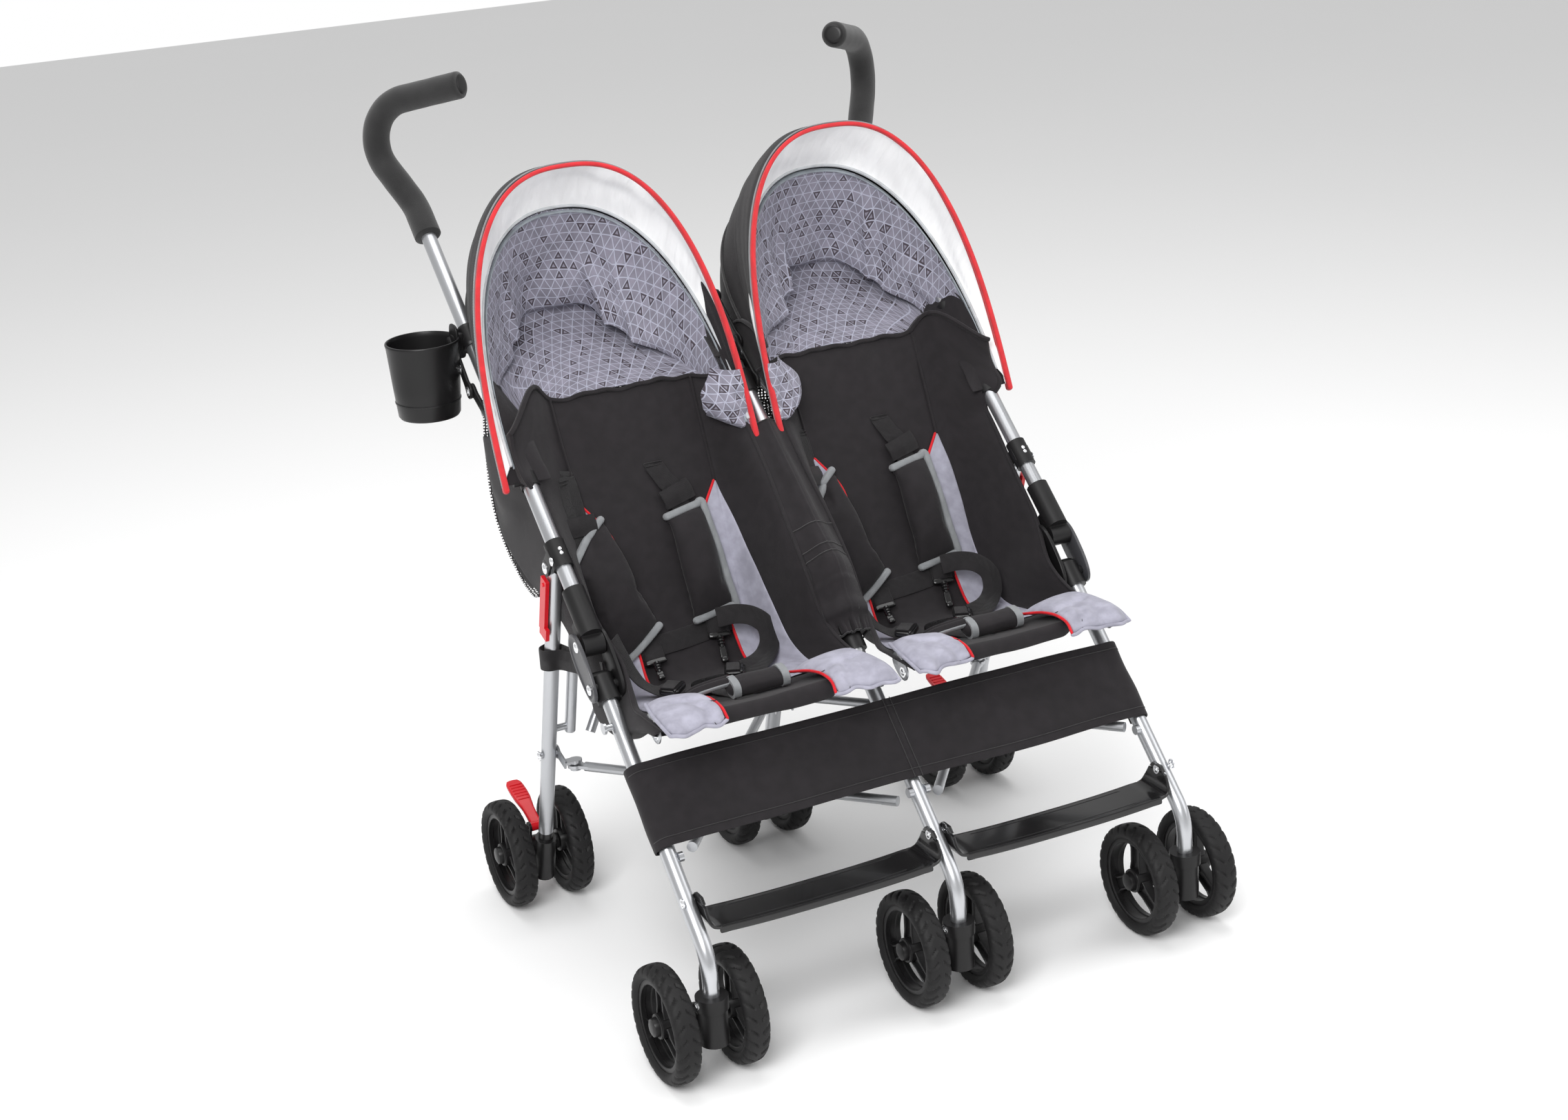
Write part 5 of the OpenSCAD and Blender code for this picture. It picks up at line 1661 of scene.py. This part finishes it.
def snap_hook(top, end, out):
    """Swivel snap hook from a pad down to its clip: folded webbing block, eye plate, ringed
    swivel and a flat blade."""
    top, end, out = [np.asarray(v, float) for v in (top, end, out)]
    down = unit(end - top)
    out = unit(out - (out @ down) * down)
    axes = np.stack([np.cross(down, out), down, out])
    sling = sweep(top + np.linspace(-4, 20, 9)[:, None] * down, oval(26, 7, 4, 24), out,
                  ends="round")
    plate = block(top + 24 * down, (14, 4.0, 3.0), axes, 4)
    neck = [(0, -1), (4.4, -1), (4.8, 2), (3.4, 3.2), (4.6, 4.6), (4.6, 6), (3.2, 7.2), (4.4, 8.4),
            (4.4, 10), (3.0, 11.2), (3.0, 14), (0, 14.6)]
    swivel = turned(neck, top + 27 * down, down, 24)
    reach = np.linalg.norm(end - top) - 40
    blade = block(top + (40 + reach / 2) * down, (4.4, reach / 2 + 1, 1.9), axes, 4)
    nose = block(end + 2.6 * out, (4.8, 4, 3.2), axes, 3)
    return [patch(sling)], [patch(part) for part in (plate, swivel, blade, nose)]


class STROLLER_OT_harness(bpy.types.Operator):
    """Shoulder webbing with bound pads, snap hooks, looped waist strap and crotch pad"""

    bl_idname = "stroller.harness"
    bl_label = "Harness"

    def execute(self, context):
        sizes = context.scene.stroller_sizes
        wide = sizes.webbing_width / MM
        for side in (LEFT, RIGHT):
            name = SIDE_NAMES[side]
            straps, hooks = [], []
            # side of the pad: (x of the webbing above it, pad, its hook from, to)
            pads = {-1: (-102, (-1, -100, -62, 0.305, 0.503, 66), (-46, 84, 380), (-52, 42, 354)),
                    1: (16, (1, 38, 46, 0.282, 0.468, 56), (45, 87, 398), (37, 50, 354))}
            for m, (top, pad, hook_top, hook_end) in pads.items():
                label = "left" if m < 0 else "right"
                padded(f"shoulder_pad_{name}_{label}",
                       shoulder_pad(side, pad, sizes.pad_thickness / MM), "pad_cloth",
                       "black_fabric", sizes.pad_swell / MM, 0.7)
                piece(f"shoulder_binding_{name}_{label}", [patch(pad_binding(side, pad))],
                      "mid_frame", ["grey_binding"], fold=True)
                first, start = pad[1], pad[3]
                slot = [(top, 0.166, -1.5), (top, 0.178, 3.0), (mix(top, first, 0.4), 0.215, 5.0),
                        (mix(top, first, 0.9), start - 0.02, 5.0), (first, start + 0.01, 5.0)]
                straps.append(patch(tape(side, slot, wide)))
                back = [(mix(top, first, 0.7), start - 0.052, 7.0),
                        (mix(top, first, 0.85), start - 0.034, 9.0), (first, start - 0.014, 6.4)]
                straps.append(patch(tape(side, back, wide + 18, 4.0, 20)))
                for t in (0.174, 0.181):
                    bar = [(top - wide / 2 + 1, t, 4.6), (top + wide / 2 - 1, t, 4.6)]
                    path, out = on_seat(side, bar, 12)
                    straps.append(strip(path, (1.2, 1.4, 2, 8), out, ends="flat"))
                sling, hook = snap_hook(*[np.array(at) + [side * PITCH / 2, 0, 0]
                                          for at in (hook_top, hook_end)], (-0.25, -0.85, 0.45))
                straps += sling
                hooks += hook
            belt = [(-62, 0.508, 2.6), (-30, 0.505, 3.2), (10, 0.500, 3.4), (44, 0.492, 3.4),
                    (62, 0.486, 4.5)]
            straps.append(patch(tape(side, belt, wide + 1)))
            self.loops(side, straps, hooks, wide)
            piece(f"harness_{name}_webbing", straps, "mid_frame", ["webbing"],
                  fold=True, sharp=50)
            piece(f"harness_{name}_hooks", hooks, "mid_frame", ["gloss_plastic"],
                  fold=True)
            self.crotch(side, name)
        return {"FINISHED"}

    def loops(self, side, straps, hooks, wide):
        """Waist strap: it stands up in a loop on the right and lies along the wing on the left,
        and both ends go through the buckle's ladder locks."""
        middle = np.array([side * PITCH / 2, 0, 0])
        loop = [(40, 72, 402), (60, 62, 406), (80, 50, 402), (92, 42, 390), (90, 30, 374),
                (78, 18, 364), (60, 6, 360), (38, -2, 359)]
        left = [(-108, 44, 420), (-102, 38, 400), (-97, 26, 380), (-90, 6, 367), (-78, -8, 362),
                (-62, -14, 361)]
        for points, facing in ((loop, (-0.2, -0.8, 0.55)), (left, (0.55, -0.45, 0.7))):
            path = curve(points, 64) + middle
            straps.append(strip(path, (wide, 1.8, 6, 20), facing, ends="flat"))
        for x, y, z, turn in ((27, 0, 361, -0.45), (-63, -16, 364, -0.8)):
            along = unit(np.array([np.cos(turn), np.sin(turn), 0.0]))
            axes = np.stack([along, np.cross([0, 0, 1], along), [0, 0, 1]])
            at = middle + [x, y, z]
            hooks.append(patch(block(at, (13, 16.5, 3.4), axes, 5)))
            hooks.append(patch(block(at + along * 8 + [0, 0, 2.6], (2.6, 16.0, 2.6), axes, 4)))
            straps.append(strip(at + [0, 0, 4.2] + np.linspace(-10, 6, 8)[:, None] * along,
                                (wide - 1, 2.4, 6, 20), (0, 0, 1), ends="flat"))
        centre = middle + [-18, -34, 364]
        hooks.append(patch(block(centre, (26, 15, 6.5), power=4)))
        hooks.append(patch(block(centre + [0, 1, 5.5], (9, 8, 2.6), power=3)))

    def crotch(self, side, name):
        """Rolled crotch pad across the front of the seat, with bound ends and an open flap."""
        middle = np.array([side * PITCH / 2, 0, 0])
        path = curve([(-24, -104, 387), (-4, -106, 388), (18, -107, 388.5), (38, -107, 389)],
                     48) + middle
        size = np.stack([1 + 0.04 * np.sin(np.linspace(0, 9, 48)), 0.95 + 0.07 * np.sin(
            np.linspace(0, 7, 48) + side)], -1)
        roll = sweep(path, oval(32, 21, 2.4, 32), (0, -0.1, 1), size, "round")
        padded(f"crotch_pad_{name}", roll, "pad_cloth", "black_fabric", 2.0, 0.7)
        trims = []
        for at in (path[0], path[-1]):
            ring = at + np.linspace(-4.4, 4.4, 5)[:, None] * [1.0, -0.05, 0.02]
            trims.append(strip(ring, (34, 23, 2.4, 32), (0, -0.1, 1), ends="flat"))
        flap = curve([(-74, -88, 377), (-66, -96, 384), (-48, -104, 390), (-26, -106, 392)],
                     40) + middle
        rear = flap + mix(np.array([6, 26, -6]), np.array([0, 18, -2]),
                          np.linspace(0, 1, 40)[:, None])
        rim = curve(np.concatenate([flap[::4], rear[::-4]]), 90)
        trims.append(strip(rim, (3.0, 6.0, 2.4, 14), (0, -0.5, 0.9)))
        piece(f"crotch_binding_{name}", trims, "mid_frame", ["grey_binding"],
              fold=True)
        k = np.linspace(0, 1, 24)[:, None, None]
        leaf = mix(flap[None], rear[None], k) + 9 * np.sin(np.pi * k) * [0, 0, 1.0]
        leaf = leaf - 3.0 * bump_at(k, 0.45, 0.12) * [0, 0, 1.0]
        piece(f"crotch_flap_{name}", [patch(leaf)], "mid_frame", ["black_cloth"],
              fold=True, wall=2.0, levels=1)
        strap = curve([(-14, -150, 372), (-14, -128, 378), (-14, -104, 374), (-15, -70, 366),
                       (-17, -40, 360)], 40) + middle
        piece(f"crotch_strap_{name}", [strip(strap, (25, 1.8, 6, 20), (0, 0.1, 1), ends="flat")],
              "mid_frame", ["webbing"], fold=True)


# ---------- cover over the middle frame and the seats' hanging sides ----------

# (place along the sleeve, front reach, edge reach, half width, ridge width); the place runs
# along the upper tube from 235 to 25, round the knuckle, and along the leg from -25 to -66
SLEEVE = [(235, 12, 5, 24, 10), (190, 13, 4, 25, 11), (138, 14, 3, 26, 13), (90, 16, 2, 27, 15),
          (55, 19, 0, 28, 18), (20, 24, -2, 30, 22), (0, 28, 0, 31, 24), (-20, 29, 6, 31, 25),
          (-42, 27, 9, 31, 24), (-46, 24, 9, 29, 22), (-66, 19, 11, 24, 17)]


# Lower edge of a seat's hanging side against t along the seat's edge: (y, z)
SKIRT_LOW = [(0, (335, 610)), (0.1, (326, 540)), (0.2, (300, 482)), (0.3, (245, 455)),
             (0.4, (180, 430)), (0.5, (100, 405)), (0.6, (54, 362)), (0.66, (43, 322)),
             (0.72, (2, 314)), (0.82, (-60, 332)), (0.92, (-118, 364)), (1, (-172, 376))]


class STROLLER_OT_sleeve(bpy.types.Operator):
    """Black cover over the middle tube and knuckle, and the hanging sides of the seats"""

    bl_idname = "stroller.sleeve"
    bl_label = "Sleeve and sides"

    def execute(self, context):
        place = np.linspace(235, -66, 120)[:, None]
        a = np.linspace(-1, 1, 45)[None]
        shape = through([(row[0], row[1:]) for row in SLEEVE[::-1]], place)
        front, edge, half, ridge = [shape[..., k] for k in range(4)]
        x = a * half
        bell = np.exp(-np.abs(x / ridge) ** 2.6)
        reach = edge + (front - edge) * bell
        reach = reach + 1.1 * crumple(place / 26, a * 2.6, 1.5) * smooth(place, 235, 200)
        reach = reach + 1.3 * bump_at(a, 0, 0.05)
        band = smooth(place, 2, -2) * smooth(place, -44, -41)
        reach = reach + 2.4 * band
        gather = smooth(place, -44, -60)
        reach = reach + gather * (2.6 * np.sin(a * 11) + 1.8 * np.sin(a * 23 + 1))
        tuck = smooth(np.abs(a), 0.9, 1.0) * smooth(place, 60, 10)
        x = x * (1 - 0.18 * tuck)
        reach = reach - 16 * tuck
        way = smooth(place, 26, -26)
        on_tube = upper(place + 0 * a, reach, x)
        on_leg = lower(-place + 0 * a, -reach, x)
        sleeve = mix(on_tube, on_leg, way[..., None])
        self.joint(sheet("middle_sleeve", sleeve, None, "black_cloth",
                         fold=False, wall=2.0))
        k = np.linspace(0, 119, 120).astype(int)
        ridge_seam = sleeve[k, 30]
        hems = [strip(ridge_seam, (2.6, 1.6, 2, 10), (0, -0.6, 0.8))]
        for row in (0, 62, 75, 80, 119):
            line = sleeve[row] + (UPPER_OUT if row == 0 else LOWER_OUT) * 0.6
            hems.append(strip(line, (2.2, 3.4, 2, 10), (0, -0.7, 0.7)))
        self.joint(piece("middle_sleeve_seams", hems, None, ["black_binding"]))
        for side in (LEFT, RIGHT):
            self.skirt(side)
            self.gussets(side)
        return {"FINISHED"}

    def joint(self, made):
        """The cover's transform is baked into its mesh."""
        tuple(placed(upper(30, 12)))
        tuple(placed(lower(30, -12)))
        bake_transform(made)

    def skirt(self, side):
        """Side of a seat: it leaves the seat's outer edge, passes behind the frame tube and
        hangs to below the seat's floor."""
        name = SIDE_NAMES[side]
        t = np.linspace(0, 0.98, 90)
        top = seat_point(side, side + 0 * t, t)
        low = through(SKIRT_LOW, t)
        k = np.linspace(0, 1, 28)[:, None]
        y, z = [mix(top[None, :, n + 1], low[None, :, n], k) for n in (0, 1)]
        hang = smooth(t, 0.3, 0.5)[None]
        wall = 306 + 27 * smooth(t, 0.22, 0.12)[None] * smooth(k, 1.0, 0.5)
        x = mix(top[None, :, 0] * side, wall, smooth(k, 0, 0.4))
        x = x + hang * (6 * np.sin(np.pi * k) + 3.4 * crumple(7 * t[None], 3.5 * k, side + 0.5) * k
                        - 14 * smooth(k, 0.75, 1.0))
        skirt = np.stack([side * x, y, z], -1)
        sheet(f"seat_{name}_side", skirt, "mid_frame", "black_cloth",
              wall=2.0)

    def gussets(self, side):
        """Cloth between the lower edges of a hood and the upper edges of its seat."""
        name = SIDE_NAMES[side]
        for end, part in ((-1, "outer"), (1, "inner")):
            t = np.linspace(0.02, 1.0, 56)
            high = hood_point(side, end * 90 + 0 * t, t, 1.0)
            edge = curve([(140, 606), (176, 636), (206, 660), (238, 666), (268, 670)], 56)
            low = np.stack([0 * t + side * (PITCH / 2 - end * 135), edge[:, 0] - 3, edge[:, 1] - 6],
                           -1)
            k = np.linspace(0, 1, 12)[:, None, None]
            web = mix(high[None], low[None], k)
            web = web + np.stack([1.6 * side * crumple(9 * t[None], 3 * k[..., 0], end + 4.0),
                                  0 * web[..., 0], 0 * web[..., 0]], -1)
            sheet(f"canopy_{name}_gusset_{part}", web, "mid_frame", "black_cloth",
                  wall=1.6)


# ---------- canopy stretchers, lining tips and small parts ----------


def link(start, end, width, thick, eye=1.18):
    """Flat link between two pivots with rounded eyes; both ends are ovals in its plane."""
    start, end = np.asarray(start, float), np.asarray(end, float)
    along = unit(end - start)
    length = np.linalg.norm(end - start)
    s = np.linspace(-width * eye / 2, length + width * eye / 2, 40)
    over = np.minimum(s + width * eye / 2, length + width * eye / 2 - s) / (width * eye / 2)
    round_end = np.sqrt(np.clip(1 - (1 - np.clip(over, 0, 1)) ** 2, 0.0005, 1)) * eye
    waist = mix(round_end, np.minimum(round_end, 0.8), smooth(over, 1.0, 2.2))
    size = np.stack([0 * waist + 1, waist], -1)
    return sweep(start + s[:, None] * along, oval(thick, width, 5, 24),
                 np.cross(along, [1.0, 0, 0]), size)


class STROLLER_OT_small_parts(bpy.types.Operator):
    """Canopy stretchers, bunched lining tips, brake levers, plates and the leg strap"""

    bl_idname = "stroller.small_parts"
    bl_label = "Small parts"

    def execute(self, context):
        for side in (LEFT, MIDDLE, RIGHT):
            self.stretchers(side)
        for side in (LEFT, RIGHT):
            self.tip(side)
            self.brake(side)
        self.plates()
        self.band()
        return {"FINISHED"}

    def stretchers(self, side):
        """Two jointed links on each face of a tube that carries a canopy."""
        name = SIDE_NAMES[side]
        body = "mid_frame" if side == MIDDLE else f"{name}_frame"
        links, rivets = [], []
        for m in ((side,) if side else (-1, 1)):
            x = side * PITCH + m * 15.5
            foot = upper(300, 3, x)
            elbow, top = np.array([x + m * 3, 262, 690]), np.array([x, 318, 738])
            links.append(patch(link(foot, elbow, 15, 5)))
            links.append(patch(link(elbow + [m * 4.4, 0, 0], top + [m * 4.4, 0, 0], 17, 4.6)))
            grip = upper(300 + np.linspace(-16, 16, 13), 0, side * PITCH)
            links.append(strip(grip, (25.5, 25.5, 2, 36), (1, 0, 0), ends="flat"))
            links.append(patch(turned([(0, 5), (6, 4.6), (8.2, 3), (8.6, 0), (8.6, -8)],
                                      top + [m * 6, 0, 0], (m, 0, 0), 28)))
            for spot, lift in ((foot, 2.6), (elbow, 6.8), (mix(elbow, top, 0.45), 6.8)):
                rivets += rivet(spot + [m * lift, 0, 0], (m, 0, 0), 1.0)
        piece(f"canopy_links_{name}", links, body, ["plastic"])
        piece(f"canopy_rivets_{name}", rivets, body, ["chrome"])

    def tip(self, side):
        """Lining bunched over the inner foot of a canopy: a hanging fold with deep creases."""
        name = SIDE_NAMES[side]
        p = np.linspace(0, 1, 44)[None]
        q = np.linspace(0, 1, 36)[:, None]
        wide = mix(30, 52, smooth(q, 0, 0.55)) - 5 * smooth(q, 0.8, 1.0)
        x = side * (17 + p * wide)
        z = 680 - 70 * q + 12 * p * q - 4 * np.sin(3 * p + 1) * q
        ripple = 4.5 * np.abs(np.sin(np.pi * (2.6 * p + 0.5 * q + 0.1))) ** 0.7 * smooth(q, 0, 0.35)
        y = 176 - 22 * q - 14 * np.sin(np.pi * np.clip(p, 0, 1)) ** 0.7 + 26 * p - ripple
        y = y - 3.0 * crumple(4 * p, 5 * q, side + 5.0)
        hem = smooth(q, 0.92, 1.0)
        y = y + 8 * hem
        flap = np.stack([x + 0 * y, y, z + 0 * y], -1)
        where = 1.25 * np.stack([x - side * PITCH / 2 + 0 * y, z + 0 * y], -1)
        sheet(f"canopy_{name}_lining_tip", flap, "mid_frame", "print",
              print_at=where, wall=1.4)

    def brake(self, side):
        """Brake lever with a rounded, ribbed tread over the CAD lever's arm."""
        name = SIDE_NAMES[side]
        pin = sloped((252.5, 70.0), 100, 32, 0, side * PITCH)
        c, d = np.cos(np.radians(20)), np.sin(np.radians(20))
        along, out = np.array([0.0, c, d]), np.array([0.0, -d, c])
        s = np.array([0, 6, 18, 30, 40, 50, 62, 74, 82, 87, 88.5])
        wide = np.array([13, 15, 15, 16, 19, 22, 23, 22.5, 21, 16, 9]) / 10
        deep = np.array([9, 8.6, 7.4, 7, 7.4, 7.6, 7.4, 7.0, 6.2, 5.0, 3.4]) / 10
        grid = np.linspace(0, 88.5, 60)
        size = np.stack([np.interp(grid, s, wide), np.interp(grid, s, deep)], -1)
        bow = 3.0 * np.sin(np.pi * grid / 88.5)
        path = pin + grid[:, None] * along + bow[:, None] * out
        lever = [strip(path, (10, 10, 4, 32), out, size=size, ends="flat")]
        for at in np.arange(46, 82, 6.0):
            rib = pin + at * along + (np.interp(at, grid, bow) + 3.6) * out
            wide_at = np.interp(at, s, wide) * 10 - 7
            ends = np.linspace(-wide_at / 2, wide_at / 2, 9)[:, None] * [1.0, 0, 0]
            lever.append(strip(rib + ends, (2.2, 2.4, 2.4, 12), out))
        barrel = np.linspace(-8.6, 8.6, 11)[:, None] * [1.0, 0, 0]
        lever.append(strip(pin + barrel, (12.5, 12.5, 2, 32), out, ends="flat"))
        made = piece(f"brake_lever_{name}", lever, f"brake_pedal_{name}", ["red_plastic"])
        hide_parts(f"brake_pedal_{name}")

    def plates(self):
        """Seat plates under the inner and outer corners, each with its bolt."""
        for name, x in (("left_outer", -304), ("left_inner", -16), ("right_inner", 16),
                        ("right_outer", 304)):
            m = np.sign(x - (PITCH / 2) * np.sign(x)) or 1
            centre = np.array([x, -146.0, 380.0])
            plate = dished(centre, (0, -0.82, -0.57), (m, 0, 0), (38, 24),
                           [(0, -1.6), (0.94, -1.6), (1, -0.8), (1, 0.8), (0.94, 1.6), (0, 1.6)])
            bolt = rivet(centre + [m * 1.6, -8, -5], (m, 0, 0), 1.15)
            piece(f"seat_plate_{name}", [patch(plate)] + [(*b[:3], b[3] + 1) for b in bolt],
                  "mid_frame", ["bracket", "chrome"], fold=True)

    def band(self):
        """Webbing band from the seat's side round the left rear leg."""
        leg = LEG_PIVOT + LEG_DIR * 136 + [LEFT * PITCH, 0, 0]
        path = [(12, -140, 22), (13, -90, 12), (10, -30, 0), (2, -14, -1), (-9, -12, -1),
                (-14.5, 0, -2), (-9, 13, -3), (2, 16, -2), (8, 10, 0), (11, -8, 2), (13, -60, 8)]
        band = curve([leg + spot for spot in path], 110)
        piece("rear_leg_band", [strip(band, (1.8, 27, 6, 16), (0, 0, 1), ends="flat")],
              "left_rear_leg", ["webbing"])


# ---------- stage ----------


def area_light(name, spot, aim, size, power, tint=(1, 1, 1)):
    """Soft square lamp at a spot, facing aim; metres and watts."""
    lamp = bpy.data.lights.new(name, "AREA")
    lamp.shape, lamp.size, lamp.energy, lamp.color = "SQUARE", size, power, tint
    obj = bpy.data.objects.new(name, lamp)
    bpy.context.scene.collection.objects.link(obj)
    back = unit(np.array(spot, float) - np.array(aim, float))
    across = unit(np.cross([0, 0, 1], back))
    up = np.cross(back, across)
    obj.matrix_world = Matrix([(*row, place) for row, place in
                               zip(np.stack([across, up, back], 1), spot)] + [(0, 0, 0, 1)])


class STROLLER_OT_stage(bpy.types.Operator):
    """Pale floor, soft studio lamps and the camera"""

    bl_idname = "stroller.stage"
    bl_label = "Stage"

    def execute(self, context):
        scene = context.scene
        mesh = bpy.data.meshes.new("floor")
        mesh.from_pydata([(-9, -9, 0), (9, -9, 0), (9, 9, 0), (-9, 9, 0)], [], [(0, 1, 2, 3)])
        made, tree, shader, place, _ = new_material("Pale studio floor", Roughness=0.6)
        cloud = add(tree, "TexNoise", {"Vector": place, "Scale": 1.3, "Detail": 2.0}).outputs["Fac"]
        feed(shader, Base_Color=blended(tree, cloud, (0.95, 0.95, 0.95, 1),
                                        (0.965, 0.965, 0.965, 1)))
        mesh.materials.append(made)
        floor = bpy.data.objects.new("floor", mesh)
        scene.collection.objects.link(floor)
        world = bpy.data.worlds.new("Studio white")
        world.use_nodes = True
        sky = world.node_tree.nodes["Background"]
        sky.inputs["Color"].default_value = (1, 1, 1, 1)
        ray = world.node_tree.nodes.new("ShaderNodeLightPath")
        level = world.node_tree.nodes.new("ShaderNodeMapRange")
        level.inputs["To Min"].default_value, level.inputs["To Max"].default_value = 0.6, 1.0
        world.node_tree.links.new(ray.outputs["Is Camera Ray"], level.inputs["Value"])
        world.node_tree.links.new(level.outputs["Result"], sky.inputs["Strength"])
        scene.world = world
        area_light("key", (-1.9, -2.4, 2.9), (0, 0, 0.5), 1.8, 105)
        area_light("fill", (2.6, -1.7, 2.0), (0, 0, 0.5), 2.4, 26)
        area_light("top", (0.1, 0.5, 3.4), (0, 0, 0.5), 2.6, 52)
        scene.view_settings.view_transform = "Standard"
        self.camera(scene)
        return {"FINISHED"}

    def camera(self, scene):
        """Camera 3.25 m from its aim, 25 degrees to the left of the front and 20 degrees up."""
        turn, rise, roll = np.radians([-25.34, 20.04, -3.71])
        back = np.array([np.sin(turn) * np.cos(rise), -np.cos(turn) * np.cos(rise), np.sin(rise)])
        right = np.array([np.cos(turn), np.sin(turn), 0.0])
        up = np.cross(back, right)
        right, up = (np.cos(roll) * right + np.sin(roll) * up,
                     np.cos(roll) * up - np.sin(roll) * right)
        spot = placed([40.7, 237.3, 388.6]) + 3.2548 * back
        lens = bpy.data.cameras.new("camera")
        lens.sensor_width, lens.lens = 36.0, 56.72
        lens.shift_x, lens.shift_y = 0.00646, 0.00233
        obj = bpy.data.objects.new("camera", lens)
        obj.matrix_world = Matrix([(*row, place) for row, place in
                                   zip(np.stack([right, up, back], 1), spot)] + [(0, 0, 0, 1)])
        scene.collection.objects.link(obj)
        scene.camera = obj


# ---------- panel and registration ----------

STEPS = [
    STROLLER_OT_frame_finish, STROLLER_OT_wheels, STROLLER_OT_grips, STROLLER_OT_cup_holder,
    STROLLER_OT_knuckle_trim, STROLLER_OT_seats, STROLLER_OT_canopies, STROLLER_OT_calf_panel,
    STROLLER_OT_footrests, STROLLER_OT_storage_bag, STROLLER_OT_harness, STROLLER_OT_sleeve,
    STROLLER_OT_small_parts, STROLLER_OT_stage,
]


class STROLLER_PT_panel(bpy.types.Panel):
    """Sizes, colours and steps of the stroller"""

    bl_idname = "STROLLER_PT_panel"
    bl_label = "Stroller"
    bl_space_type = "VIEW_3D"
    bl_region_type = "UI"
    bl_category = "Stroller"

    def draw(self, context):
        for group_of in (context.scene.stroller_sizes, context.scene.stroller_colours):
            for name in group_of.bl_rna.properties.keys():
                if name not in ("rna_type", "name"):
                    self.layout.prop(group_of, name)
        for step in STEPS:
            self.layout.operator(step.bl_idname)


CLASSES = [StrollerSizes, StrollerColours, *STEPS, STROLLER_PT_panel]


def register():
    for made in CLASSES:
        bpy.utils.register_class(made)
    bpy.types.Scene.stroller_sizes = bpy.props.PointerProperty(type=StrollerSizes)
    bpy.types.Scene.stroller_colours = bpy.props.PointerProperty(type=StrollerColours)


def unregister():
    del bpy.types.Scene.stroller_colours
    del bpy.types.Scene.stroller_sizes
    for made in reversed(CLASSES):
        bpy.utils.unregister_class(made)


def main():
    register()
    for step in STEPS:
        group_name, _, operator = step.bl_idname.partition(".")
        getattr(getattr(bpy.ops, group_name), operator)()


if __name__ == "__main__":
    main()
